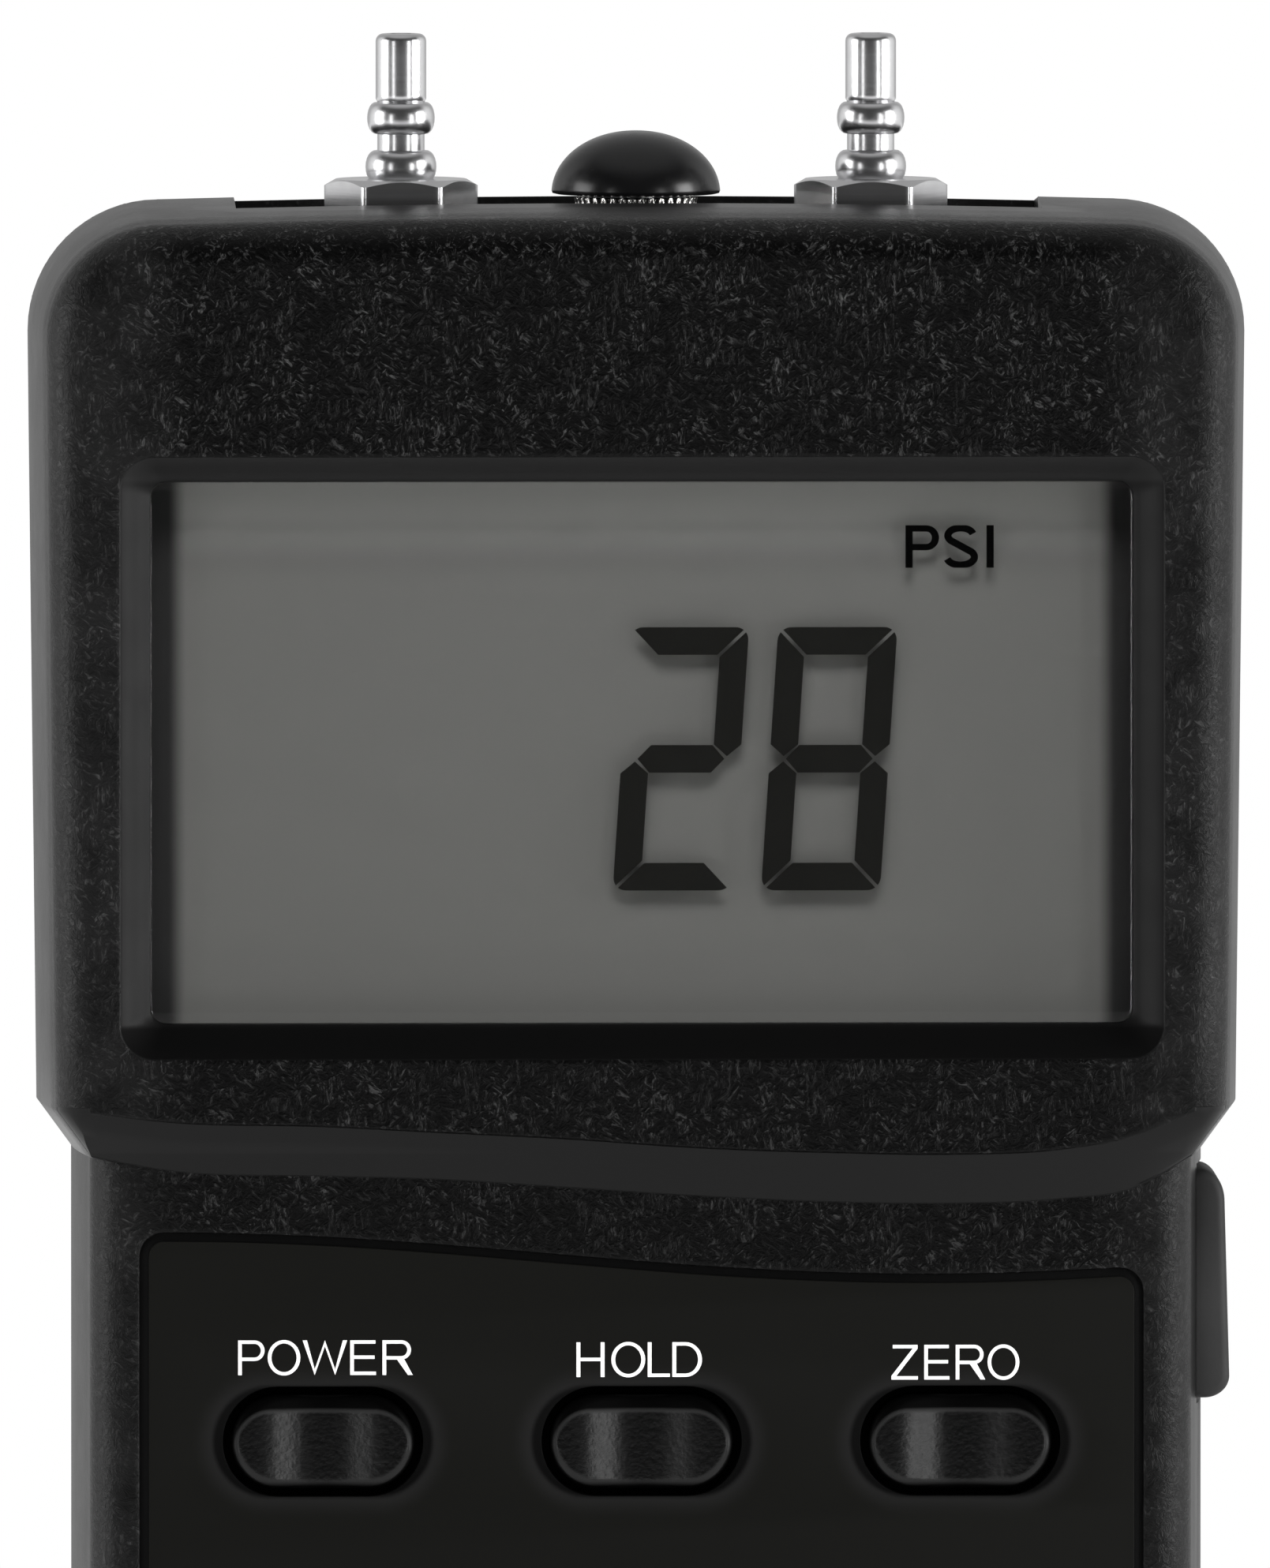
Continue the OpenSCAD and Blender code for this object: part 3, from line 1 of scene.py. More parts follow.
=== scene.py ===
import math
import bmesh
import bpy
import numpy as np
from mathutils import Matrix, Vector


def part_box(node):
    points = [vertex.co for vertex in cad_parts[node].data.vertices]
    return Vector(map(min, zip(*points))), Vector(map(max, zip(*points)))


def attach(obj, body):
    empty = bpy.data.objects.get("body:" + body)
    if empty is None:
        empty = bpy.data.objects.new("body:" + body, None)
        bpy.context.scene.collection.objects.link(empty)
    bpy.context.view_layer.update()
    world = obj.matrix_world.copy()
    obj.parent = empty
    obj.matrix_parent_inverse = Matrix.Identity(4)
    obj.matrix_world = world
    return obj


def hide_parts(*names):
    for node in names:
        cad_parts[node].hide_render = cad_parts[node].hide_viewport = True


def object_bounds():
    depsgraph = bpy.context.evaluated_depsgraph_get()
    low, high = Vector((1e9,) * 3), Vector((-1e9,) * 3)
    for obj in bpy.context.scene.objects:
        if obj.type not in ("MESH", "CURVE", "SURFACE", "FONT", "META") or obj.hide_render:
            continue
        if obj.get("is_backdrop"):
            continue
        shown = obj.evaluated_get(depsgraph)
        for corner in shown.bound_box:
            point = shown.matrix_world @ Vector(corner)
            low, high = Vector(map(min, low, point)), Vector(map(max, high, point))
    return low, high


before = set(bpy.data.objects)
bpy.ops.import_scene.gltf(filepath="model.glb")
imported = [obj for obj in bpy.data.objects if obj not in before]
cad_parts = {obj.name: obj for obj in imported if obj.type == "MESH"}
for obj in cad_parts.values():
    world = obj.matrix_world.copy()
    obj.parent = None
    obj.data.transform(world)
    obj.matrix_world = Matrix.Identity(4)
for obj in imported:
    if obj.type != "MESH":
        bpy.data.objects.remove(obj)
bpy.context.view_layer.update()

scene = bpy.context.scene
mm = 0.001
print("frame loaded:", len(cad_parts), "nodes")


class Wire:
    # A node's socket; sums and products on it add Math nodes
    def __init__(self, book, socket):
        self.book = book
        self.socket = socket

    def maths(self, operation, *others):
        return self.book.node("Math", {"operation": operation}, dict(enumerate((self,) + others)))

    def __add__(self, other):
        return self.maths("ADD", other)

    def __sub__(self, other):
        return self.maths("SUBTRACT", other)

    def __rsub__(self, other):
        return self.book.node("Math", {"operation": "SUBTRACT"}, {0: other, 1: self})

    def __mul__(self, other):
        return self.maths("MULTIPLY", other)

    def __pow__(self, other):
        return self.maths("POWER", other)

    __radd__ = __add__
    __rmul__ = __mul__

    def other(self, name):
        return Wire(self.book, self.socket.node.outputs[name])

    # Runs from 0 to 1, eased at both ends, while this value runs from low to high
    def rise(self, low, high):
        return self.book.node("MapRange", {"interpolation_type": "SMOOTHSTEP"},
                              {"Value": self, "From Min": low, "From Max": high})

    # 1 between two places: it rises from a to b and falls from c to d
    def inside(self, a, b, c, d):
        return self.rise(a, b) * (1 - self.rise(c, d))


class Book:
    # The nodes of one material, or of the world
    def __init__(self, owner):
        owner.use_nodes = True
        self.owner = owner
        self.tree = owner.node_tree
        self.tree.nodes.clear()

    def node(self, kind, settings=None, inputs=None, output=0):
        made = self.tree.nodes.new("ShaderNode" + kind)
        for key, value in (settings or {}).items():
            setattr(made, key, value)
        for key, value in (inputs or {}).items():
            if isinstance(value, Wire):
                self.tree.links.new(value.socket, made.inputs[key])
            else:
                made.inputs[key].default_value = value
        return Wire(self, made.outputs[output])

    def axes(self, vector):
        x = self.node("SeparateXYZ", inputs={0: vector})
        return x, x.other("Y"), x.other("Z")

    def noise(self, vector, scale, detail=2.0, rough=0.5, warp=0.0):
        return self.node("TexNoise", inputs={
            "Vector": vector, "Scale": scale, "Detail": detail, "Roughness": rough, "Distortion": warp})

    def mix(self, share, first, second):
        return self.node("Mix", {"data_type": "RGBA"}, {0: share, 6: first, 7: second}, 2)

    def bump(self, height, strength, distance):
        return self.node("Bump", inputs={
            "Height": height, "Strength": strength, "Distance": distance})

    def finish(self, inputs):
        return self.out(self.node("BsdfPrincipled", inputs=inputs))

    # Blends two surfaces that differ in the strength of their gloss
    def blend(self, share, inputs, first, second):
        pair = [self.node("BsdfPrincipled", inputs={**inputs, "Specular IOR Level": level})
                for level in (first, second)]
        return self.out(self.node("MixShader", inputs={0: share, 1: pair[0], 2: pair[1]}))

    def out(self, shader, kind="OutputMaterial"):
        last = self.tree.nodes.new("ShaderNode" + kind)
        self.tree.links.new(shader.socket, last.inputs["Surface"])
        return self.owner


# The book of a new material, with the places of its points in metres
def newBook(name):
    book = Book(bpy.data.materials.new(name))
    return book, book.node("TexCoord", output="Object")


def grey(value):
    return (value, value, value, 1.0)


# The largest of several values
def largest(values):
    result = values[0]
    for value in values[1:]:
        result = result.maths("MAXIMUM", value)
    return result


# Case plastic with a grain of short crossed streaks, smooth on the band and the bezel, fainter on the walls,
# and glossier on the rounded edges and the walls than on the face. Pale streaks in its colour are painted
# glints, the face is painted paler towards both sides as a painted sheen, and the bezel has painted shade on
# its lower slope and painted light on its top bevel
def casePlastic():
    # The palest grey is that of the painted glints on the streaks
    form = {"dark": 0.0003, "edge": 0.0065, "rear": 0.004, "light": 0.067,  # greys, also of the streaks
            # On the bezel, the top bevel's grey is painted light and the lower slope's grey is painted shade
            "band": 0.004, "bezel": 0.002, "bezelTop": 0.009, "bezelFootShade": 0.0002,  # greys where it is smooth
            "rough": 0.38, "smooth": 0.3, "flat": 0.125, "round": 0.205,  # roughness, strength of gloss
            "fine": 1450, "cross": 900, "cloud": 300, "lean": (0.6, -0.75, 1.5), "start": (0.0, 3.0, 7.0)}
    # Where each zone begins and is full, in metres, and with four numbers also starts to end and is over
    zone = {"bandY": (-0.01598, -0.0159, -0.0141, -0.01402), "bandZ": (0.119, 0.1192, 0.1266, 0.12665),
            "bezelY": (-0.01599, -0.01592, -0.0125, -0.012), "bezelZ": (0.1266, 0.1267, 0.17, 0.171),
            "bezelSide": (0.0312, 0.0314), "shade": (0.1312, 0.1316), "topBevel": (0.1633, 0.1638),
            "sideSheen": (0.026, 0.0315), "walls": (-0.0125, -0.0105, 0.011, 0.0135), "rear": (-0.0135, -0.0105),
            "low": (0.13, 0.133), "head": (0.1236, 0.124), "headEdge": (-0.0158, -0.015),
            "gripEdge": (-0.0138, -0.013)}
    book, place = newBook("casePlastic")
    x, y, z = book.axes(place)
    aside = x.maths("ABSOLUTE")
    streaks = []
    for lean, start in zip(form["lean"], form["start"]):
        laid = book.node("Mapping", {"vector_type": "TEXTURE"}, {
            "Vector": place, "Location": (start, start, start), "Rotation": (0.0, lean, 0.0),
            "Scale": (1.0, 0.6, 0.4)})
        streaks.append(book.noise(laid, form["fine"], 3.0, 0.7, 0.9))
    cross = book.noise(place, form["cross"], 1.0, 0.5)
    first, second = cross.rise(0.44, 0.5), cross.rise(0.52, 0.58)
    streak = streaks[0] + (streaks[1] - streaks[0]) * first + (streaks[2] - streaks[1]) * second
    patches = book.noise(place, form["cloud"], 3.0, 0.6)
    band = y.inside(*zone["bandY"]) * z.inside(*zone["bandZ"])
    bezel = y.inside(*zone["bezelY"]) * z.inside(*zone["bezelZ"]) * (1 - aside.rise(*zone["bezelSide"]))
    plain = band.maths("MAXIMUM", bezel)
    shaded = bezel * (1 - z.rise(*zone["shade"]))
    # The sides of the face, where a painted sheen makes the grey paler
    sideSheen = aside.rise(*zone["sideSheen"])
    grain = (1 - plain) * (1 - y.inside(*zone["walls"]) * 0.75)
    # Painted glints: pale streaks in the colour, in patches, fewer towards the sides and low on the grip
    paintedGlints = (streak.rise(0.51, 0.76) * (0.25 + 0.75 * patches.rise(0.35, 0.62)) * grain
              * (0.75 - 0.2 * sideSheen) * (0.7 + 0.3 * z.rise(*zone["low"])))
    # Painted sheen: the face's dark grey turns paler towards both sides, in patches
    face = book.mix(sideSheen * (0.35 + 0.65 * patches.rise(0.3, 0.7)), grey(form["dark"]), grey(form["edge"]))
    ground = book.mix(y.rise(*zone["rear"]), face, grey(form["rear"]))
    # Painted light: the bezel's top bevel is paler; painted shade: its lower slope is near black
    bevel = book.mix(z.rise(*zone["topBevel"]), grey(form["bezel"]), grey(form["bezelTop"]))
    still = book.mix(bezel, grey(form["band"]), book.mix(shaded, bevel, grey(form["bezelFootShade"])))
    colour = book.mix(plain, book.mix(paintedGlints, ground, grey(form["light"])), still)
    rough = (form["smooth"] + (form["rough"] - form["smooth"]) * grain + 0.1 * (patches - 0.5)
             + 0.16 * bezel + 0.3 * shaded)
    upper = z.rise(*zone["head"])
    rounded = (y.rise(*zone["headEdge"]) * upper + y.rise(*zone["gripEdge"]) * (1 - upper)) * (1 - bezel)
    return book.blend(rounded.maths("MAXIMUM", band * 0.6),
                      {"Base Color": colour, "Roughness": rough,
                       "Normal": book.bump(streak * grain, 0.8, 0.00012)}, form["flat"], form["round"])


# Any plain moulded or painted surface: a colour or one grey that drifts a little, with a fine skin
def moulded(name, colour, roughness, level, drift, size, skin=0.00003, metallic=0.0, coat=0.0):
    book, place = newBook(name)
    cloud = book.noise(place, size * 0.3, 2.0, 0.55)
    fine = book.noise(place, size * 3, 2.0, 0.6)
    colour = colour if isinstance(colour, tuple) else grey(colour)[:3]
    low = tuple(c * (1 - drift) for c in colour) + (1.0,)
    high = tuple(min(1, c * (1 + drift)) for c in colour) + (1.0,)
    return book.finish({"Base Color": book.mix(cloud, low, high), "Specular IOR Level": level,
                        "Roughness": roughness + 0.12 * (fine - 0.5), "Metallic": metallic,
                        "Coat Weight": coat, "Normal": book.bump(fine, 0.4, skin)})


# Bright plated metal with faint turning marks along one axis
def plated(name, colour, roughness, marks=4000, depth=0.000006, axis=2):
    book, place = newBook(name)
    stretch = [60.0, 60.0, 60.0]
    stretch[axis] = float(marks)
    stretched = book.node("Mapping", inputs={"Vector": place, "Scale": tuple(stretch)})
    rings = book.noise(stretched, 1.0, 3.0, 0.6)
    cloud = book.noise(place, 900)
    low = tuple(c * 0.86 for c in colour) + (1.0,)
    return book.finish({"Base Color": book.mix(cloud, low, tuple(colour) + (1.0,)), "Metallic": 1.0,
                        "Roughness": roughness + 0.1 * rings, "Normal": book.bump(rings, 0.3, depth)})


# Clear lens: see-through straight on, with a gloss that grows towards the edges
def clearPanel(name, gloss, tint, roughness=0.02):
    book, place = newBook(name)
    smear = book.noise(place, 900)
    clear = book.node("BsdfTransparent", inputs={"Color": tint})
    shine = book.node("BsdfGlossy", inputs={
        "Color": grey(0.9), "Roughness": roughness + 0.02 * smear})
    edge = book.node("Fresnel", inputs={"IOR": 1.3})
    return book.out(book.node("MixShader", inputs={0: edge * gloss, 1: clear, 2: shine}))


# The grey film behind the display: paler along its top, which is painted light against the shadow of the
# window's upper edge, and along its foot, also painted light; with soft dark margins at both sides, which are
# painted shade
def displayFilm():
    form = {"grey": 0.143, "tint": 0.955, "lift": 1.15, "top": (0.1583, 0.1614), "foot": 0.12,
            "low": (0.1322, 0.1358), "middle": 0.00012, "side": (0.0268, 0.028), "shadowMargin": 0.024}
    book, place = newBook("displayFilm")
    x, y, z = book.axes(place)
    speck = book.noise(place, 5000, 2.0, 0.6)
    # Painted light: paler towards the top, where the window's upper edge casts its shadow, and paler along
    # the foot
    gain = 1 + form["lift"] * z.rise(*form["top"]) + form["foot"] * (1 - z.rise(*form["low"]))
    flat = book.mix(gain * form["grey"], grey(0.0), (1.0, 1.0, form["tint"], 1.0))
    # Painted shade: soft dark margins at both sides of the film
    shadowMargin = (x - form["middle"]).maths("ABSOLUTE").rise(*form["side"])
    grainy = book.mix(speck * 0.06, flat, grey(0.1))
    return book.finish({"Base Color": book.mix(shadowMargin, grainy, grey(form["shadowMargin"])),
                        "Roughness": 0.62 + 0.1 * speck, "Specular IOR Level": 0.1})


keyPlaces = [(-18.8, 106.8), (0, 106.8), (18.8, 106.8), (-9.4, 87.8), (9.4, 87.8)]


# How far a point lies from each key's own centre line, which runs half to either side of the key's middle
def keyDistances(x, z, half, drop=0.0):
    result = []
    for keyX, keyZ in keyPlaces:
        across = ((x - keyX * mm).maths("ABSOLUTE") - half).maths("MAXIMUM", 0.0)
        result.append((across ** 2.0 + (z - (keyZ - drop) * mm) ** 2.0).maths("SQRT"))
    return result


# The label's dark film: painted light makes it a little paler around each key, and painted shade makes it
# darkest at the hole's own edge
def labelFilm():
    form = {"colour": (0.0052, 0.0052, 0.0046, 1.0), "pale": 0.0108, "dark": 0.0003, "half": 0.0032,
            "halo": (0.003, 0.0046), "rim": (0.0031, 0.0035)}
    book, place = newBook("labelFilm")
    x, y, z = book.axes(place)
    distances = keyDistances(x, z, form["half"])
    # Painted light: a paler ring around each key; painted shade: dark at the hole's own edge
    halo = largest([1 - d.rise(*form["halo"]) for d in distances])
    rim = largest([1 - d.rise(*form["rim"]) for d in distances])
    speck = book.noise(place, 3000, 2.0, 0.6)
    around = book.mix(halo * 0.9, form["colour"], grey(form["pale"]))
    return book.finish({"Base Color": book.mix(rim * 0.9, around, grey(form["dark"])),
                        "Roughness": 0.4 + 0.1 * speck, "Specular IOR Level": 0.06,
                        "Normal": book.bump(speck, 0.1, 0.00001)})


# Key rubber: a smooth crown and, at a distance from the key's own centre line, a dull dark rim, which is
# painted shade; a paler line, which is a painted highlight, parts them on the upper half
def keyRubber():
    form = {"crown": 0.0004, "skirtShade": 0.0003, "line": 0.012, "smooth": 0.22, "dullLevel": 0.03, "level": 0.32,
            "half": 0.003, "drop": 0.35, "rim": (0.00193, 0.00236), "upper": 0.8}
    book, place = newBook("keyRubber")
    x, y, z = book.axes(place)
    near = [1 - d.rise(*form["rim"]) for d in keyDistances(x, z, form["half"], form["drop"])]
    crown = largest(near)
    # Painted highlight: a paler line on the upper half, where crown and rim meet
    line = largest([n * (1 - n) * 4 * z.rise((keyZ - form["upper"]) * mm, (keyZ + form["upper"]) * mm)
                    for n, (keyX, keyZ) in zip(near, keyPlaces)])
    fine = book.noise(place, 2700, 2.0, 0.6)
    # Painted shade: the rim is darker and dull
    shade = book.mix(crown, grey(form["skirtShade"]), grey(form["crown"]))
    return book.blend(crown, {"Base Color": book.mix(line, shade, grey(form["line"])),
                              "Roughness": form["smooth"] + 0.1 * (fine - 0.5) + 0.3 * (1 - crown),
                              "Normal": book.bump(fine, 0.4, 0.00003)}, form["dullLevel"], form["level"])


finishes = {
    "case": casePlastic(),
    "lens": clearPanel("lensClear", 0.5, grey(0.97)),
    "cell": clearPanel("cellGlass", 0.15, grey(0.98), 0.08),
    "film": displayFilm(),
    "segments": moulded("segmentInk", (0.0095, 0.0095, 0.0085), 0.6, 0.05, 0.1, 900, 0.000002),
    "unit": moulded("unitInk", 0.0006, 0.6, 0.02, 0.1, 900, 0.000002),
    "label": labelFilm(),
    "print": moulded("labelPrint", 0.86, 0.5, 0.3, 0.03, 900, 0.000002),
    "key": keyRubber(),
    "mat": moulded("matRubber", 0.08, 0.6, 0.2, 0.2, 500),
    "contact": moulded("contactRubber", (0.2, 0.19, 0.18), 0.6, 0.2, 0.2, 2500),
    "board": moulded("boardLacquer", (0.008, 0.09, 0.035), 0.3, 0.5, 0.25, 1500, 0.00002, 0, 0.3),
    "chips": moulded("chipResin", (0.012, 0.012, 0.013), 0.5, 0.4, 0.2, 1200),
    "holder": moulded("holderPlastic", 0.02, 0.5, 0.3, 0.2, 700),
    "plate": moulded("platePlastic", 0.0014, 0.45, 0.12, 0.3, 700),
    "knob": moulded("knobSatin", (0.0028, 0.0028, 0.003), 0.25, 0.42, 0.2, 700, 0.000003),
    "pot": moulded("potBlue", (0.02, 0.07, 0.3), 0.4, 0.5, 0.15, 700),
    "sensor": moulded("sensorPlastic", (0.62, 0.6, 0.52), 0.5, 0.4, 0.08, 500),
    "hose": moulded("hoseSilicone", (0.6, 0.58, 0.5), 0.4, 0.5, 0.08, 500),
    "socket": moulded("socketPlastic", 0.01, 0.35, 0.4, 0.2, 900),
    "cover": moulded("coverRubber", 0.024, 0.55, 0.2, 0.25, 800),
    "battery": moulded("batteryPaint", (0.03, 0.035, 0.05), 0.3, 0.5, 0.2, 400, 0.00002, 0.4, 0.4),
    "lead": moulded("leadSheath", (0.25, 0.01, 0.01), 0.4, 0.5, 0.15, 900),
    "chrome": plated("chromePlate", (0.74, 0.74, 0.75), 0.2),
    "nickel": plated("nickelPlate", (0.72, 0.71, 0.69), 0.16),
    "steel": plated("steelBright", (0.5, 0.5, 0.5), 0.22, 3000, 0.000004, 1),
    "blackened": plated("steelBlackened", (0.07, 0.07, 0.075), 0.4, 3000, 0.000004, 1),
    "brass": plated("brassTurned", (0.66, 0.46, 0.2), 0.2)}
print("finishes made:", len(finishes))


# Quads between the rows of a grid, each of which ends at its start
def gridQuads(rows, cols):
    r = np.arange(rows - 1)[:, None] * cols
    c = np.arange(cols)[None, :]
    n = (c + 1) % cols
    return np.stack([r + c, r + n, r + cols + n, r + cols + c], -1).reshape(-1, 4)


# Puts a mesh, curve, lamp or camera into the scene
def addObject(name, data):
    made = bpy.data.objects.new(name, data)
    scene.collection.objects.link(made)
    return made


# Joins parts of (points in mm, faces) into one piece
def makePiece(name, parts, finish, nodes=(), sharp=38, body="root", wall=0.0):
    points, faces = np.empty((0, 3)), []
    for p, f in parts:
        faces += [[int(i) + len(points) for i in face] for face in f]
        points = np.vstack([points, np.asarray(p).reshape(-1, 3)])
    mesh = bpy.data.meshes.new(name)
    mesh.from_pydata((points * mm).tolist(), [], faces)
    dress(name, mesh, finish, nodes, sharp, body, wall)


# Makes a mesh a piece: welded, turned outwards, smooth below a sharp angle; evened ones join their flat
# triangles and weigh their normals by area
def dress(name, mesh, finish, nodes, sharp, body, wall=0.0, evened=False):
    work = bmesh.new()
    work.from_mesh(mesh)
    bmesh.ops.remove_doubles(work, verts=work.verts, dist=1e-6)
    bmesh.ops.dissolve_degenerate(work, edges=work.edges, dist=1e-7)
    bmesh.ops.recalc_face_normals(work, faces=work.faces)
    if evened:
        bmesh.ops.dissolve_limit(work, angle_limit=math.radians(0.2), verts=work.verts, edges=work.edges)
    work.to_mesh(mesh)
    work.free()
    mesh.shade_smooth()
    mesh.set_sharp_from_angle(angle=math.radians(sharp))
    piece = addObject(name, mesh)
    mesh.materials.clear()
    mesh.materials.append(finishes[finish])
    if wall:
        shell = piece.modifiers.new("wall", "SOLIDIFY")
        shell.thickness = wall * mm
        shell.offset = -1.0
    if evened:
        evener = piece.modifiers.new("evener", "WEIGHTED_NORMAL")
        evener.weight = 100
        evener.keep_sharp = True
    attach(piece, body)
    if nodes:
        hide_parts(*nodes)
    return piece


# Points of an ellipse's arc around (cx, cz), from one angle to another
def oval(cx, cz, rx, rz, start, end, count=16):
    a = np.radians(np.linspace(start, end, count))
    return np.stack([cx + rx * np.cos(a), cz + rz * np.sin(a)], 1)


# The same on a circle
def arc(cx, cz, r, start, end, count):
    return oval(cx, cz, r, r, start, end, count)


# Points between two places, both left out
def between(a, b, count):
    s = np.linspace(0, 1, count + 2)[1:-1, None]
    return np.asarray(a, float) * (1 - s) + np.asarray(b, float) * s


# A cubic through knots, each with the slope that its neighbours give
def smoothCurve(knots, values, at):
    knots, values = np.asarray(knots, float), np.asarray(values, float)
    slopes = np.gradient(values, knots)
    i = np.clip(np.searchsorted(knots, at, side="right") - 1, 0, len(knots) - 2)
    h = knots[i + 1] - knots[i]
    t = (at - knots[i]) / h
    return ((2 * t ** 3 - 3 * t ** 2 + 1) * values[i] + (t ** 3 - 2 * t ** 2 + t) * h * slopes[i]
            + (3 * t ** 2 - 2 * t ** 3) * values[i + 1] + (t ** 3 - t ** 2) * h * slopes[i + 1])


# Rings of (x, z), each at its depth y, as the rows of a grid of points, and the grid's quads
def loft(rings):
    grid = np.stack([np.stack([r[:, 0], np.broadcast_to(y, len(r)), r[:, 1]], 1) for r, y in rings])
    return grid, gridQuads(*grid.shape[:2])


# Stadium outline around (cx, cz): two half circles, with some points along the straight sides
def stadium(w, h, count=24, cx=0.0, cz=0.0, along=0):
    c = (w - h) / 2
    right, left = arc(cx + c, cz, h / 2, -90, 90, count), arc(cx - c, cz, h / 2, 90, 270, count)
    return np.vstack([right, between(right[-1], left[0], along), left,
                      between(left[-1], right[0], along)])


# The corners of a rectangle between two of them
def rectangle(x0, z0, x1, z1):
    return np.array([[x0, z0], [x1, z0], [x1, z1], [x0, z1]])


head = {"top": 36.0, "low": 35.5, "grip": 33.45, "topZ": 180.0, "crown": 0.4, "shoulderZ": 126.4,
        "lowZ": 123.6, "faceY": -16.0, "gripY": -14.0, "cornerR": 7.7, "footR": 9.0, "draft": 0.9,
        "draftPower": 1.7, "groove": 0.1, "run": 2.5, "rise": 3.0, "upperSag": 2.45, "lowerSag": 2.85,
        "notchX": 23.8, "notchY": -7.5, "wall": 1.7, "windowHalf": 28.95, "windowTop": 163.5,
        "windowLow": 131.5, "windowR": 0.9, "bezelSide": 1.9, "bezelTop": 1.6, "bezelLow": 2.1,
        "bezelDrop": 1.4, "bezelR": 1.15, "bezelBow": 0.035,
        "upper": ([0, 0.02, 0.07, 0.21, 0.31, 0.44, 0.54, 0.68, 0.78, 0.88, 0.95, 0.98, 1],
                  [0, 0.06, 0.2, 0.31, 0.45, 0.63, 0.82, 0.96, 1, 0.88, 0.53, 0.22, 0]),
        "lower": ([0, 0.07, 0.21, 0.31, 0.44, 0.54, 0.68, 0.78, 0.88, 0.95, 1],
                  [0, 0.29, 0.41, 0.47, 0.66, 0.81, 0.96, 0.99, 0.9, 0.66, 0])}
lowCount = 72  # points along the lower edge of a ring of the head


# The head's outline drawn in by d, its top crowned by a parabola and its foot t of the way down the band
def headRing(d, t):
    f = head
    r = f["cornerR"] - d
    top, low, grip = f["top"] - d, f["low"] - d, f["grip"] - d
    z = f["topZ"] - f["crown"] - d
    mid = top - r
    shoulder = np.array([low, f["shoulderZ"]])
    foot = shoulder * (1 - t) + np.array([grip, f["lowZ"]]) * t
    n = f["notchX"]
    x = np.hstack([26.5, n, np.linspace(n - 3, 3 - n, 17), -n, -26.5])
    crown = np.stack([x, z + f["crown"] * (1 - (x / mid) ** 2)], 1)
    s = np.linspace(0, 1, lowCount + 2)[1:-1]
    up = np.stack([low * (2 * s - 1), f["shoulderZ"] - f["upperSag"] * smoothCurve(*f["upper"], s)], 1)
    down = np.stack([grip * (2 * s - 1), f["lowZ"] - f["lowerSag"] * smoothCurve(*f["lower"], s)], 1)
    flip = np.array([-1, 1])
    cornerR, cornerL = arc(mid, z - r, r, 0, 90, 17), arc(-mid, z - r, r, 90, 180, 17)
    return np.vstack([[foot, shoulder], between(shoulder, cornerR[0], 8), cornerR, crown, cornerL,
                      between(cornerL[-1], shoulder * flip, 8), [shoulder * flip, foot * flip],
                      up * (1 - t) + down * t])


# A rounded rectangle with the same count of points as the head's outline
def windowRing(half, low, high, r):
    right, left = np.array([half, low + r]), np.array([-half, low + r])
    cornerR, cornerL = arc(half - r, high - r, r, 0, 90, 17), arc(-half + r, high - r, r, 90, 180, 17)
    return np.vstack([[right, right], between(right, cornerR[0], 8), cornerR,
                      between(cornerR[-1], cornerL[0], 21), cornerL, between(cornerL[-1], left, 8),
                      [left, left], arc(-half + r, low + r, r, 180, 270, 13)[1:],
                      between([-half + r, low], [half - r, low], 48),
                      arc(half - r, low + r, r, 270, 360, 13)[:-1]])


# The window's outline grown by a side, a top, a foot and a corner
def grownWindow(side, top, low, r):
    f = head
    return windowRing(f["windowHalf"] + side, f["windowLow"] - low, f["windowTop"] + top, f["windowR"] + r)


# How far each ring of a shell's edge and side is drawn in, and its depth: the edge is a quarter ellipse, the
# draft a power of the depth, and a fine groove marks the split
def sideLevels(faceY, depths):
    f = head
    levels = []
    for a in np.radians(np.linspace(0, 90, 19)):
        levels.append((f["draft"] + f["run"] * (1 - math.sin(a)), faceY + f["rise"] * (1 - math.cos(a))))
    for y in depths:
        drawn = f["draft"] * (y / (faceY + f["rise"])) ** f["draftPower"]
        levels.append((drawn + (f["groove"] if y == 0 else 0), y))
    return levels


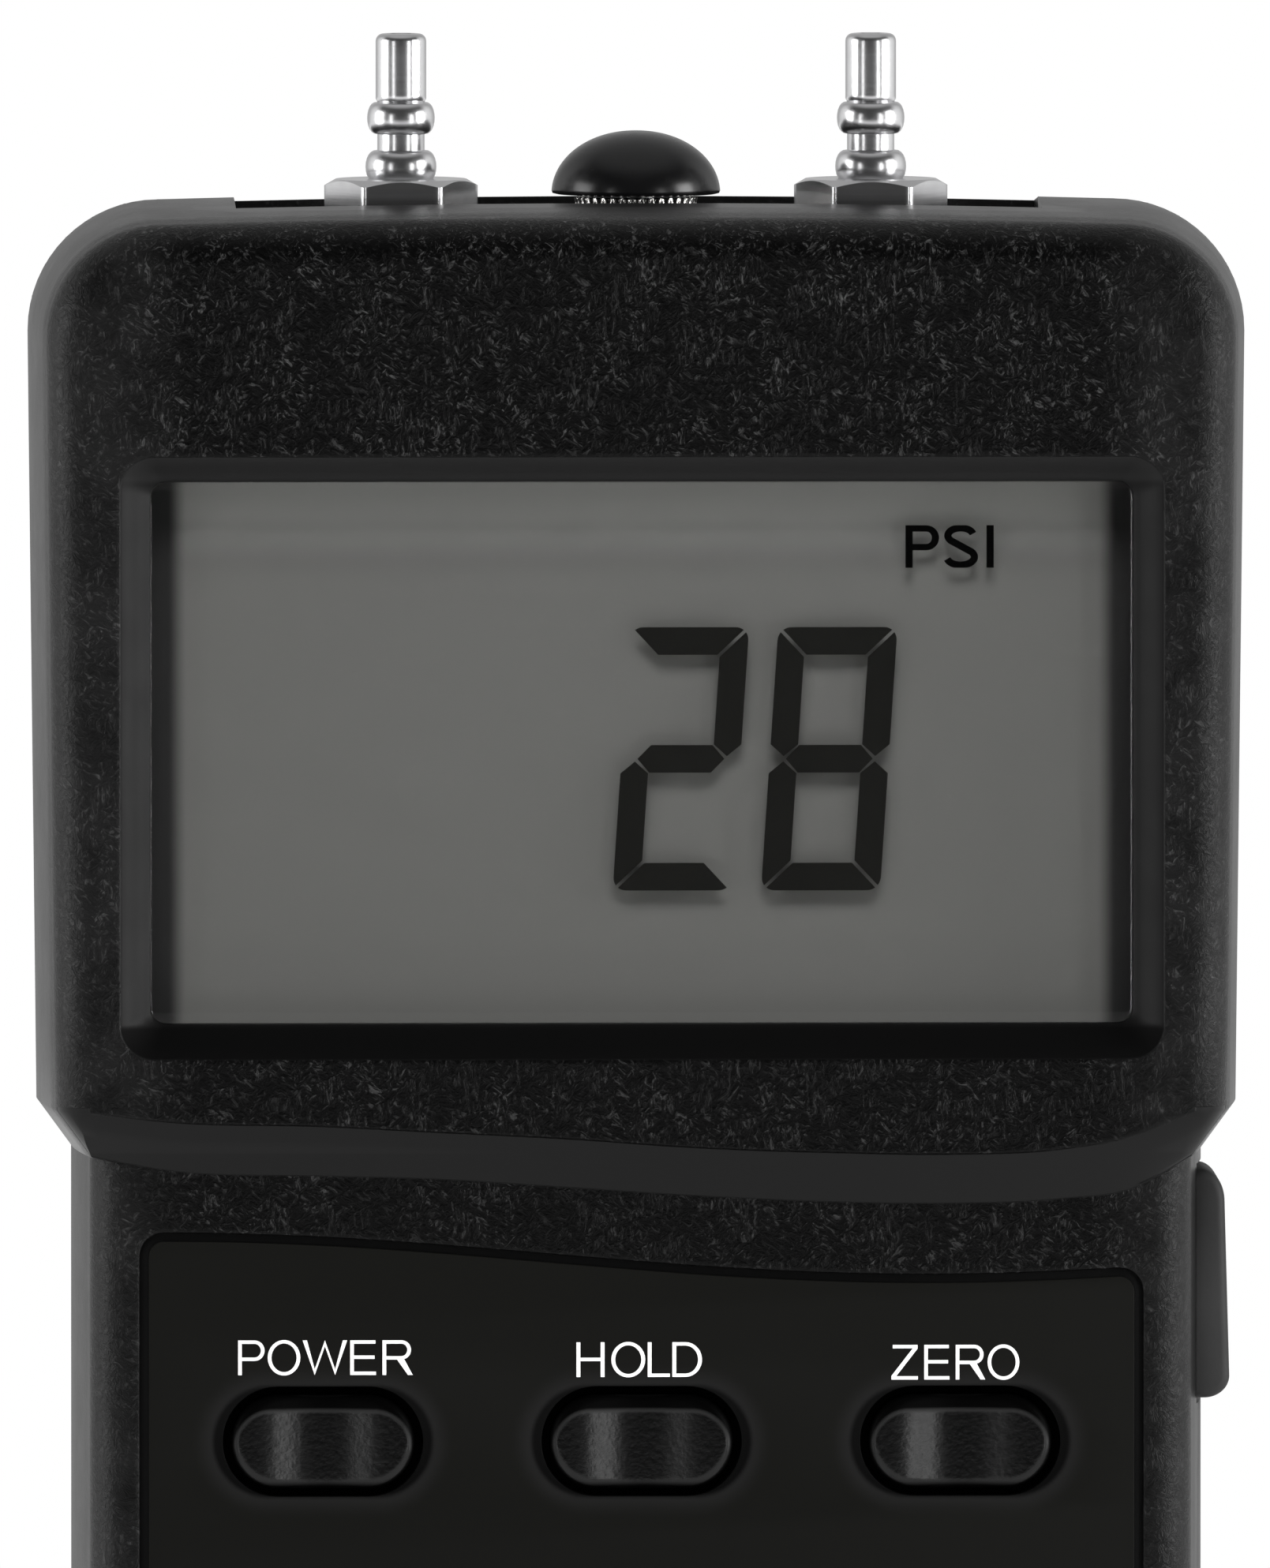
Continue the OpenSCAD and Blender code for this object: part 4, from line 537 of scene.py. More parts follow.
# Front half of the head from the lens out: its seat, the window's slopes, bowed by a sine, the face, the edge
# and the side; quads behind the grip or in the top opening are left out
def headShell():
    f = head
    rings = [(grownWindow(g, g, g, 0), y) for y, g in ((-12.9, 0), (-13.6, 0), (-14.45, 0), (-14.6, 0.03))]
    for v in np.linspace(0.04, 1, 9):
        eased = v - f["bezelBow"] * np.sin(2 * np.pi * v)
        rings.append((grownWindow(f["bezelSide"] * v, f["bezelTop"] * v, f["bezelLow"] * v, f["bezelR"] * v),
                      f["faceY"] + f["bezelDrop"] * (1 - eased)))
    edge = grownWindow(2.1, 1.8, 2.3, 1.2)
    face = headRing(f["draft"] + f["run"] + 0.08, 0)
    face[-lowCount:, 1] += 0.08
    rings += [(edge, f["faceY"]), (edge * 0.5 + face * 0.5, f["faceY"]), (face, f["faceY"])]
    inward = len(rings)
    for d, y in sideLevels(f["faceY"], (-12, -11, -9.5, f["notchY"], -6, -4.5, -3, -1.5, -0.5, -0.12, 0)):
        rings.append((headRing(d, min(1, (y - f["faceY"]) / 2)), y))
    grid, quads = loft(rings)
    deep = f["gripY"] + 0.3
    hidden = (grid[:, -1, 1] > deep) & (np.arange(len(grid)) > inward)
    grid[hidden, -lowCount:, 1] = deep
    mid = grid.reshape(-1, 3)[quads].mean(1)
    notch = (np.abs(mid[:, 0]) < f["notchX"]) & (mid[:, 1] > f["notchY"]) & (mid[:, 2] > 175)
    under = hidden[:-1, None] & (np.arange(grid.shape[1]) >= grid.shape[1] - lowCount - 1)[None, :]
    return grid, quads[~(notch | under.ravel())]


keypad = {"half": 29.2, "top": 118.75, "low": 76.1, "fall": 2.5, "turn": 225.0, "r": 1.0, "gap": 0.4,
          "floorY": -13.5, "labelT": 0.35, "holeW": 11.8, "holeH": 6.5, "seatT": 1.7, "seatY": -12.65}


# The grip's outline drawn in by d, with its flat foot; its top edge is hidden inside the head
def gripRing(d):
    f = head
    half, foot, r = f["grip"] - d, max(0.0, d - f["draft"]), f["footR"] - d
    top, turn = 125.0, 0.6
    side = half - turn
    z = np.hstack([70, 95, pocket["low"], np.linspace(111, 120, 4), pocket["high"]])
    right = np.stack([np.full(len(z), half), z], 1)
    return np.vstack([
        arc(half - r, foot + r, r, -90, 0, 17), right, arc(side, top - turn, turn, 0, 90, 9),
        between([side, top], [-side, top], 60), arc(-side, top - turn, turn, 90, 180, 9),
        right[::-1] * [-1, 1], arc(-half + r, foot + r, r, 180, 270, 17),
        between([-half + r, foot], [half - r, foot], 20)])


# The label's outline grown by g: straight sides, and a top edge that falls on a cosine from left to right
def labelRing(g):
    f = keypad
    w, r, low, top = f["half"] + g, f["r"] + g, f["low"] - g, f["top"] + g
    s = np.linspace(1, 0, 62)[1:-1]
    fall = f["fall"] * (1 - math.cos(math.radians(f["turn"]))) / 2
    wave = np.stack([-w + r + 2 * (w - r) * s,
                     top - f["fall"] * (1 - np.cos(np.radians(f["turn"] * s))) / 2], 1)
    lowR, highR = arc(w - r, low + r, r, -90, 0, 17), arc(w - r, top - fall - r, r, 0, 90, 9)
    highL, lowL = arc(-w + r, top - r, r, 90, 180, 9), arc(-w + r, low + r, r, 180, 270, 17)
    return np.vstack([lowR, between(lowR[-1], highR[0], 8), highR, wave, highL,
                      between(highL[-1], lowL[0], 8), lowL, between(lowL[-1], lowR[0], 20)])


pocket = {"low": 108.6, "high": 122.8, "frontY": -7.7, "floorX": 32.3, "axisY": -3.1,
          "sockets": (119.0, 112.4), "holeR": 2.95, "wallT": 1.4}


# Front half of the grip: label recess, face, rounded edges and sides, with the side cover's notch
def gripShell():
    f = head
    rings = [(labelRing(keypad["gap"]), y) for y in (-13.0, -13.5, -13.86)]
    rings += [(labelRing(keypad["gap"] + g), y) for g, y in ((0.04, -13.95), (0.14, -14.0), (0.3, -14.0))]
    face = gripRing(f["draft"] + f["run"] + 0.08)
    rings += [(rings[-1][0] * 0.5 + face * 0.5, f["gripY"]), (face, f["gripY"])]
    for d, y in sideLevels(f["gripY"], (-10, -9, pocket["frontY"], -6, -4.5, -3, -1.5, -0.5, -0.12, 0)):
        rings.append((gripRing(d), y))
    grid, quads = loft(rings)
    mid = grid.reshape(-1, 3)[quads].mean(1)
    notch = ((mid[:, 0] > 32) & (mid[:, 1] > pocket["frontY"]) & (mid[:, 2] > pocket["low"])
             & (mid[:, 2] < pocket["high"]))
    return grid, quads[~notch]


# A mesh's points, one to a row
def readPoints(mesh):
    flat = np.empty(len(mesh.vertices) * 3)
    mesh.vertices.foreach_get("co", flat)
    return flat.reshape(-1, 3)


# A flat plate with holes, facing -Y at depth y or +X at place x: a curve fills its outlines and gives it
# thickness and soft edges
def makePlate(name, outlines, thick, soft, y, finish, nodes=(), x=None, body="root", sharp=30):
    curve = bpy.data.curves.new(name, "CURVE")
    curve.dimensions = "2D"
    curve.fill_mode = "BOTH"
    curve.extrude = (thick / 2 - soft) * mm
    curve.bevel_depth = soft * mm
    curve.bevel_resolution = 2
    curve.offset = -soft * mm
    for outline in outlines:
        spline = curve.splines.new("POLY")
        spline.points.add(len(outline) - 1)
        flat = np.column_stack([np.asarray(outline) * mm, np.zeros(len(outline)), np.ones(len(outline))])
        spline.points.foreach_set("co", flat.ravel())
        spline.use_cyclic_u = True
    holder = addObject(name, curve)
    bpy.context.view_layer.update()
    mesh = bpy.data.meshes.new_from_object(holder.evaluated_get(bpy.context.evaluated_depsgraph_get()))
    bpy.data.objects.remove(holder)
    across, up, out = readPoints(mesh).T
    placed = [across, y * mm - out, up] if x is None else [x * mm + out, across, up]
    mesh.vertices.foreach_set("co", np.stack(placed, 1).ravel())
    mesh.update()
    dress(name, mesh, finish, nodes, sharp, body)


# A smooth copy of a CAD node
def smoothCopy(node, name, finish, sharp=30, body="root"):
    return dress(name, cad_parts[node].data.copy(), finish, (node,), sharp, body, evened=True)


holes = [stadium(keypad["holeW"], keypad["holeH"], 24, x, z) for x, z in keyPlaces]
makePiece("headShell", [headShell()], "case", ("front_case",), wall=head["wall"])
makePiece("gripShell", [gripShell()], "case", wall=head["wall"])
makePlate("keypadSeat", [labelRing(0.6)] + holes, keypad["seatT"], 0.05, keypad["seatY"], "plate")
side = rectangle(pocket["frontY"], pocket["low"], 0, pocket["high"])
noses = [arc(pocket["axisY"], z, pocket["holeR"], 0, 352.5, 48) for z in pocket["sockets"]]
makePlate("socketWall", [side] + noses, pocket["wallT"], 0.0, None, "plate",
          x=pocket["floorX"] - pocket["wallT"] / 2)
print("front case made")


# The keypad label: a thin film with a hole around each key
makePlate("keypadFilm", [labelRing(-0.12)] + holes, keypad["labelT"], 0.06,
          keypad["floorY"] - keypad["labelT"] / 2, "label", ("keypad_label",))


# A line drawn with a pen of width t: both sides run half of t off it, mitred where it bends, cut at 0 and 1
def penned(line, t):
    line = np.asarray(line, float)
    along = np.diff(line, axis=0)
    along /= np.linalg.norm(along, axis=1, keepdims=True)
    before, after = np.vstack([along[:1], along]), np.vstack([along, along[-1:]])
    bend = before + after
    bend /= np.linalg.norm(bend, axis=1, keepdims=True)
    side = np.stack([-bend[:, 1], bend[:, 0]], 1)
    reach = t / 2 / np.sum(side * np.stack([-before[:, 1], before[:, 0]], 1), 1)
    shape = np.vstack([line + side * reach[:, None], (line - side * reach[:, None])[::-1]])
    shape[:, 1] = np.clip(shape[:, 1], 0, 1)
    return shape


# Outlines of a capital of height 1: its own width w, and t the width of its strokes
def letter(name, t):
    w = {"D": 0.83, "E": 0.75, "H": 0.785, "I": 0.13, "L": 0.62, "O": 0.95, "P": 0.77, "R": 0.88, "S": 0.8,
         "W": 1.29, "Z": 0.79}[name]
    h = t * 0.9
    if name == "O":
        return w, [oval(w / 2, 0.5, w / 2 - dx, 0.512 - dz, 0, 348, 30) for dx, dz in ((0, 0), (t, h))]
    if name == "D":
        x = w - 0.46
        return w, [np.vstack([[[0, 0]], oval(x, 0.5, w - x, 0.5, -90, 90), [[0, 1]]]),
                   np.vstack([[[t, h]], oval(x, 0.5, w - x - t, 0.5 - h, -90, 90), [[t, 1 - h]]])]
    if name in "PR":
        low = 0.41 if name == "P" else 0.445
        r = (1 - low) / 2
        x = w - r if name == "P" else w - r - 0.05
        foot = [[t, 0], [t, low]]
        if name == "R":
            foot += [[0.42, low], [w - 1.28 * t, 0], [w, 0], [0.42 + 1.9 * t, low + 0.02]]
        start = -90 if name == "P" else -62
        return w, [np.vstack([[[0, 0]], foot, oval(x, low + r, r, r, start, 90), [[0, 1]]]),
                   np.vstack([[[t, low + h]], oval(x, low + r, r - t, r - h, -90, 90), [[t, 1 - h]]])]
    if name == "E":
        low, high = 0.465, 0.465 + h
        return w, [np.array([[0, 0], [w, 0], [w, h], [t, h], [t, low], [w - 0.04, low], [w - 0.04, high],
                             [t, high], [t, 1 - h], [w - 0.015, 1 - h], [w - 0.015, 1], [0, 1]])]
    if name == "H":
        low, high = 0.46, 0.46 + h
        return w, [np.array([[0, 0], [t, 0], [t, low], [w - t, low], [w - t, 0], [w, 0], [w, 1], [w - t, 1],
                             [w - t, high], [t, high], [t, 1], [0, 1]])]
    if name == "I":
        return t, [rectangle(0, 0, t, 1)]
    if name == "L":
        return w, [np.array([[0, 0], [w, 0], [w, h], [t, h], [t, 1], [0, 1]])]
    if name == "Z":
        return w, [np.array([[0, 0], [w, 0], [w, h], [1.32 * t, h], [w - 0.01, 1 - h * 1.1], [w - 0.01, 1],
                             [0.04, 1], [0.04, 1 - h], [w - 1.4 * t, 1 - h], [0, h * 1.1]])]
    if name == "W":
        side = t * 0.55
        return w, [penned([[side, 1.06], [w * 0.27, -0.1], [w / 2, 1.1], [w * 0.73, -0.1], [w - side, 1.06]],
                          t * 1.2)]
    high = oval(w / 2, 0.755, w / 2 - t * 0.65, 0.257 - h / 2, 14, 236, 22)
    low = oval(w / 2, 0.255, w / 2 - t / 2, 0.267 - h / 2, 56, -166, 22)
    return w, [penned(np.vstack([high, low]), t)]


letterGaps = {"O": 0.07, "L": 0.07, "R": 0.07, "P": 0.09, "W": 0.09}  # the space after some letters
letterGap = 0.19  # and after all others, in shares of the cap height


# Words as raised ink; each row: the text, its middle, foot, cap height, width and stroke
def printWords(name, words, y, finish, thick=0.02):
    shapes = []
    for text, x, z, cap, width, stroke in words:
        at, row = 0.0, []
        for sign in text:
            w, outlines = letter(sign, stroke)
            row += [o + [at, 0] for o in outlines]
            at += w + letterGaps.get(sign, letterGap)
        low = min(o[:, 0].min() for o in row)
        high = max(o[:, 0].max() for o in row)
        for o in row:
            across = ((o[:, 0] - low) / (high - low) - 0.5) * width + x
            shapes.append(np.stack([across, o[:, 1] * cap + z], 1))
    makePlate(name, shapes, thick, 0.0, y, finish)


keyWords = [("POWER", -18.65, 110.74, 2.05, 10.3, 0.108), ("HOLD", -0.14, 110.6, 2.05, 7.4, 0.108),
            ("ZERO", 18.52, 110.42, 2.05, 7.55, 0.108)]
printWords("keyWords", keyWords, keypad["floorY"] - keypad["labelT"] - 0.008, "print")


keyForm = {"w": 10.8, "h": 5.5, "faceY": -14.2, "waistY": -12.6, "backY": -11.6, "rim": 0.55, "drop": 0.85,
           "reach": 4.5, "flange": (13.4, 8.1), "flangeY": -10.8, "stem": (6.4, 3.0), "stemY": -8.1}


# One key cap: rings of a stadium shrink to a line, over a round rim and a hollow that follows a cosine
def keyCap(x, z):
    f = keyForm
    levels = [(0, y) for y in (f["backY"], f["waistY"], f["faceY"] + f["rim"])]
    for a in np.radians(np.linspace(12, 90, 8)):
        levels.append((2 * f["rim"] * (1 - math.cos(a)), f["faceY"] + f["rim"] * (1 - math.sin(a))))
    levels += [(f["h"] * v, f["faceY"]) for v in np.linspace(0.24, 1, 14)]
    rings = [(stadium(f["w"] - d, max(f["h"] - d, 1e-4), 25, along=15), y) for d, y in levels]
    grid, quads = loft(rings)
    sag = f["drop"] * (1 + np.cos(np.pi * np.clip(grid[..., 0] / f["reach"], -1, 1))) / 2
    top = np.clip((f["faceY"] + f["rim"] - grid[..., 1]) / f["rim"], 0, 1) ** 0.5
    grid[..., 1] += sag * top
    grid[..., 0] += x
    grid[..., 2] += z
    n = grid.shape[1]
    points = np.vstack([grid.reshape(-1, 3), [grid[0].mean(0)]])
    cap = [[len(points) - 1, (i + 1) % n, i] for i in range(n)]
    return points, quads.tolist() + cap


# A plain prism of an outline (x, z) between two depths
def prism(outline, y0, y1):
    n = len(outline)
    mids = np.array([[outline[:, 0].mean(), y, outline[:, 1].mean()] for y in (y0, y1)])
    grid, quads = loft([(outline, y0), (outline, y1)])
    caps = [[2 * n, (i + 1) % n, i] for i in range(n)]
    caps += [[2 * n + 1, n + i, n + (i + 1) % n] for i in range(n)]
    return np.vstack([grid.reshape(-1, 3), mids]), quads.tolist() + caps


for name, (x, z) in zip(("power_key", "hold_key", "zero_key", "unit_key", "record_key"), keyPlaces):
    flange = prism(stadium(*keyForm["flange"], 20, x, z), keyForm["backY"], keyForm["flangeY"])
    stem = prism(stadium(*keyForm["stem"], 12, x, z), keyForm["flangeY"], keyForm["stemY"])
    parts = [keyCap(x, z), flange, stem]
    makePiece(name.replace("_key", "Key"), parts, "key", (name,), 40, name)
print("keypad made")


# A turned shape round the Z axis at (x, 0): levels of (radius, height), each a number or one for every angle
def turned(levels, x=0.0, z=0.0, count=72):
    a = np.linspace(0, 2 * np.pi, count, endpoint=False)
    grid = np.stack([np.stack([x + r * np.cos(a), r * np.sin(a), z + h + 0 * a], -1) for r, h in levels])
    return grid, gridQuads(len(levels), count)


fitting = {"stem": 1.5, "neck": 1.4, "upper": 2.0, "lower": 2.1, "rise": 10.6, "hexT": 2.0, "hexBore": 1.45,
           "flats": 8.0, "thread": 2.5, "ridge": 0.14, "pitch": 0.25, "shank": 7.1, "inner": 1.1,
           "innerLen": 5.5, "bore": 0.8, "tipR": 0.45, "seat": 178.8, "x": 13.9}


# A bead on the stem: the radius swells on a half sine between the neck and the bead's own radius
def beadProfile(z, half, r0, r1, count=13):
    a = np.linspace(0, np.pi, count)
    return np.stack([r0 + (r1 - r0) * np.sin(a) ** 0.8, z - half * np.cos(a)], 1)


# The fitting's profile of (radius, height over its seat), up its outside and down its bore
def fittingProfile():
    f = fitting
    tip = arc(f["stem"] - f["tipR"], f["rise"] - f["tipR"], f["tipR"], 0, 90, 7)
    thread = np.arange(-f["shank"] + 0.2, -0.3, f["pitch"])
    ridges = np.stack([f["thread"] - f["ridge"] * (np.arange(len(thread)) % 2), thread], 1)
    shank, foot, neck = -f["shank"], -f["shank"] - f["innerLen"], f["neck"] + 0.12
    return np.vstack([
        [[f["bore"], foot], [f["inner"], foot], [f["inner"], shank], [f["thread"] - 0.2, shank]], ridges,
        [[f["thread"], -0.1], [f["thread"], 0.5], [neck, 0.5], [neck, 1.75]],
        beadProfile(2.72, 0.98, f["neck"], f["lower"]), [[f["neck"], 4.0], [f["neck"], 4.35]],
        beadProfile(5.6, 0.95, f["neck"], f["upper"]),
        [[f["stem"], 6.75], [f["stem"], 7.0], [f["stem"], 9.4]], tip,
        [[f["bore"] + 0.08, f["rise"]], [f["bore"], f["rise"] - 0.1], [f["bore"], foot]]])


# A hexagon with one flat to the front: the flat's distance over the cosine, a small arc at each corner, and a
# 30 degree cone that cuts the corners' tops
def hexNut(x, z, flats, thick, bore, soft=0.5, count=144):
    a = np.linspace(0, 2 * np.pi, count, endpoint=False)
    half, sixth = flats / 2, math.radians(30)
    turn = np.abs(np.radians((np.degrees(a) + 1e-9) % 60 - 30))
    centre = (half - soft) / math.cos(sixth)
    corner = sixth - turn
    bend = math.atan((half - soft) * math.tan(sixth) / half)
    rounded = centre * np.cos(corner) + np.sqrt(np.maximum(soft ** 2 - (centre * np.sin(corner)) ** 2, 0))
    outer = np.where(turn < bend, half / np.cos(turn), rounded)
    top = half - 0.12
    cut = np.maximum(outer - top, 0) * math.tan(sixth)
    return turned([(bore, 0), (outer - 0.06, 0), (outer, 0.06), (outer, thick - cut), (top, thick),
                   (bore, thick), (bore, 0)], x, z, count)


for side, x in (("positive", fitting["x"]), ("negative", -fitting["x"])):
    z = fitting["seat"]
    nut = hexNut(x, z, fitting["flats"], fitting["hexT"], fitting["hexBore"])
    parts = [turned(fittingProfile(), x, z), nut]
    makePiece(side + "Fitting", parts, "chrome", (side + "_port",), 30)


knob = {"r": 5.0, "h": 3.75, "z": 179.9, "socket": 1.5, "socketH": 2.2, "foot": 0.3, "edge": 0.06}

# The domed knob: an ellipse a little fuller than a sphere's cap, with a shaft socket below
a = np.radians(np.linspace(3, 90, 40))
dome = np.stack([knob["r"] * np.cos(a) ** 0.96, knob["h"] * np.sin(a)], 1)
foot = [[0, knob["socketH"]], [knob["socket"], knob["socketH"]], [knob["socket"], 0],
        [knob["r"] - knob["foot"], 0], [knob["r"] - knob["edge"], knob["edge"]]]
profile = np.vstack([foot, dome, [[0, knob["h"]]]])
makePiece("trimKnob", [turned(profile, 0, knob["z"], 96)], "knob", ("trim_knob",), 50, "knob")


ring = {"z": 178.8, "r": 3.7, "bore": 2.8, "thick": 0.95}


# The ring nut's edge is knurled by two sines in the angle, which lean opposite ways with the height
def ringNut(z, r, bore, thick, teeth=36, count=432):
    a = np.linspace(0, 2 * np.pi, count, endpoint=False)
    levels = [(bore, 0), (r - 0.15, 0)]
    for h in np.linspace(0.06, thick - 0.06, 7):
        lean = 1.3 * h / thick
        knurl = np.abs(np.sin(teeth * a / 2 + lean)) * np.abs(np.sin(teeth * a / 2 - lean))
        levels.append((r - 0.22 * (1 - knurl), h))
    return turned(levels + [(r - 0.2, thick), (bore, thick), (bore, 0)], 0.0, z, count)


makePiece("ringNut", [ringNut(**ring)], "nickel", ("pot_nut",), 60)
print("fittings and knob made")


# The digits in pixels of the picture, and their depth and thickness in mm
digits = {"w": 151, "h": 334, "t": 35, "round": 17, "gap": 2.1, "slant": 22, "top": 795, "left": (776, 964),
          "y": -11.12, "thick": 0.04}
unit = {"x": 1203, "foot": 720, "cap": 54, "wide": 112, "stroke": 0.168}


# Outlines of a digit's seven bars, in pixels of its own box, y down: the box has round corners, and gaps run
# along the diagonals of its corners and past its waist
def bars():
    w, h, t, r, g = (digits[k] for k in ("w", "h", "t", "round", "gap"))
    m, k, s = h / 2, 0.293 * r, g * math.sqrt(0.5)
    waist = m - t / 2 - g * 0.4
    end = [tuple(p) for p in oval(r, r, r, r, 232, 270, 6)][1:]
    a = np.array([(k + s, k - s)] + end + [(w - x, y) for x, y in end[::-1]]
                 + [(w - k - s, k - s), (w - t - 2 * s, t), (t + 2 * s, t)])
    f = np.array([(k - s, k + s), (t, t + 2 * s), (t, waist), (t / 2, m - 1.6 * g), (0, waist)]
                 + [(y, x) for x, y in end[::-1]])
    mid = np.array([(t / 2 + 2 * s, m), (t + s, m - t / 2), (w - t - s, m - t / 2), (w - t / 2 - 2 * s, m),
                    (w - t - s, m + t / 2), (t + s, m + t / 2)])
    return {"a": a, "f": f, "b": [w, 0] + f * [-1, 1], "g": mid, "e": [0, h] + f * [1, -1], "c": [w, h] - f,
            "d": [0, h] + a * [1, -1]}


# The picture's scale in pixels to a mm, its column and row at x = 0 and z on the case's face, and the shift
# of deeper planes in mm to a mm
picture = {"scale": 21.47, "column": 814, "row": 258, "z": 180, "aside": 0.0262, "down": 0.0489}


# From a place in the picture to (x, z) in mm on a plane at depth y
def pictureToCase(px, py, y):
    f = picture
    deep = y - head["faceY"]
    return ((px - f["column"]) / f["scale"] + f["aside"] * deep,
            f["z"] - (py - f["row"]) / f["scale"] - f["down"] * deep)


lit = []
for left, names in zip(digits["left"], ("abged", "abcdefg")):
    for name in names:
        x, y = bars()[name].T
        px = left + digits["slant"] * (1 - y / digits["h"]) + x
        lit.append(np.stack(pictureToCase(px, digits["top"] + y, digits["y"]), 1))
makePlate("displayDigits", lit, digits["thick"], 0.0, digits["y"], "segments")
unitX, unitZ = pictureToCase(unit["x"], unit["foot"], digits["y"])
unitSize = [unit[k] / picture["scale"] for k in ("cap", "wide")]
printWords("displayUnit", [("PSI", unitX, unitZ, *unitSize, unit["stroke"])], digits["y"], "unit",
           digits["thick"])


# The display cell: the glass, whose back stays clear of the film, and the film
cell = {"glassBack": -10.03, "filmY": -9.85, "filmT": 0.3}
glass = smoothCopy("lcd_glass", "displayGlass", "cell").data
points = readPoints(glass)
points[:, 1] = np.minimum(points[:, 1], cell["glassBack"] * mm)
glass.vertices.foreach_set("co", points.ravel())
filmLow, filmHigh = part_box("lcd_reflector")
outline = rectangle(filmLow[0], filmLow[2], filmHigh[0], filmHigh[2]) / mm
makePlate("displayFilm", [outline], cell["filmT"], 0.0, cell["filmY"], "film",
          ("lcd_reflector",))


# The lens: a rounded plate with soft edges
lensForm = {"gap": -0.05, "thick": 1.5, "soft": 0.05, "y": -13.85}
lensOutline = grownWindow(lensForm["gap"], lensForm["gap"], lensForm["gap"], 0)
keep = np.linalg.norm(lensOutline - np.roll(lensOutline, 1, 0), axis=1) > 1e-6
makePlate("displayLens", [lensOutline[keep]], lensForm["thick"], lensForm["soft"], lensForm["y"], "lens",
          ("display_lens",))
print("display made")


smoothCopy("rear_case", "rearShell", "case", 28)
smoothCopy("tilt_stand", "tiltStand", "case", body="stand")
smoothCopy("battery_door", "batteryDoor", "case", body="door")

# The side cover: a plate with elliptic ends, an arm, and the barrel around its pin
cover = {"backX": 32.45, "frontY": -7.4, "w": 8.8, "low": 108.9, "high": 122.45, "soft": 0.5,
         "arm": (110.0, 33.7, 121.0), "armGap": 0.6, "barrel": [
             (0.56, 109.2), (0.85, 109.2), (1.0, 109.35), (1.0, 121.65), (0.85, 121.8), (0.56, 121.8),
             (0.56, 109.2)]}
coverEnds = np.vstack([[[cover["backX"], cover["low"]]], oval(33.45, 110.2, 1.48, 1.3, -90, 0),
                       oval(33.3, 120.5, 1.35, 1.95, 0, 90), [[cover["backX"], cover["high"]]]])
makePlate("sideCover", [coverEnds], cover["w"], cover["soft"], cover["frontY"] + cover["w"] / 2, "cover",
          ("port_cover",), body="cover", sharp=40)
pinX, pinY = [(a + b) / 2 / mm for a, b in zip(*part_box("cover_pin"))][:2]
barrel, barrelFaces = turned(cover["barrel"], pinX, 0.0, 40)
barrel[..., 1] += pinY
low, outX, high = cover["arm"]
arm = prism(rectangle(cover["backX"], low, outX, high), cover["armGap"], pinY - cover["armGap"])
makePiece("coverBarrel", [(barrel, barrelFaces), arm], "cover", body="cover")

smoothCopy("port_plate", "portPlate", "plate")
for side in ("positive", "negative"):
    smoothCopy(side + "_hose", side + "Hose", "hose", 50)

nodeFinishes = {
    "holder": "lcd_frame", "contact": "zebra_strips", "mat": "keypad_mat", "board": "main_board",
    "chips": "board_parts battery_snap", "steel": "board_screws stand_pin pot_shaft", "brass": "port_nuts",
    "blackened": "case_screws door_screw cover_pin", "socket": "port_seals data_socket dc_socket",
    "pot": "trim_pot", "sensor": "pressure_sensor", "battery": "battery", "lead": "battery_leads"}
for finish, names in nodeFinishes.items():
    for name in names.split():
        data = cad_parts[name].data
        data.materials.clear()
        data.materials.append(finishes[finish])
print("other nodes dressed")


# Whether a ray comes straight from the camera, and whether it comes off a gloss or through a clear body
def rayPaths(book):
    straight = book.node("LightPath", output="Is Camera Ray")
    return straight, straight.other("Is Glossy Ray").maths("MAXIMUM", straight.other("Is Transmission Ray"))


stage = {"half": 0.9, "paper": (0.84, 0.87), "glow": 0.45, "fade": (0.12, 0.75), "ambient": 0.16,
         "front": 0.05, "crown": 0.42, "around": 0.45, "sides": 0.5, "behind": 0.12}


# Pale paper: it keeps its shadows near the part, and as far as it is seen it fades to plain white further out
def floorPaper():
    book, place = newBook("floorPaper")
    x, y, z = book.axes(place)
    fibre = book.noise(place, 400, 3.0, 0.6)
    low, high = stage["paper"]
    paper = book.node("BsdfPrincipled", inputs={
        "Base Color": book.mix(fibre, grey(low), grey(high)), "Roughness": 0.9, "Specular IOR Level": 0.1})
    white = book.node("Emission", inputs={"Color": grey(1.0)})
    far = (x ** 2.0 + y ** 2.0).maths("SQRT").rise(*stage["fade"])
    seen = largest(rayPaths(book)) * (stage["glow"] + (1 - stage["glow"]) * far)
    return book.out(book.node("MixShader", inputs={0: seen, 1: paper, 2: white}))


# Floor, world, lamps and camera
half = stage["half"]
corners = np.pad(rectangle(-half, -half, half, half), [(0, 0), (0, 1)])
floorMesh = bpy.data.meshes.new("floor")
floorMesh.from_pydata(corners.tolist(), [], [(0, 1, 2, 3)])
floor = addObject("floor", floorMesh)
floorMesh.materials.append(floorPaper())
floor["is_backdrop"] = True

# The world is white to the camera and a faint even light on the part; in a gloss it is dark in front under a
# pale crown, and brighter towards the sides
world = bpy.data.worlds.new("studio")
scene.world = world
sky = Book(world)
straight, mirrored = rayPaths(sky)
dirX, dirY, dirZ = sky.axes(sky.node("TexCoord", output="Generated"))
front = (dirZ * 0.8 - dirY).rise(0.05, 0.6)
sides = stage["sides"] * dirX.maths("ABSOLUTE").rise(0.5, 0.95)
around = stage["around"] + sides.maths("MAXIMUM", stage["behind"] * dirY.rise(0.8, 0.97))
ahead = stage["front"] + stage["crown"] * dirZ.rise(0.65, 0.95)
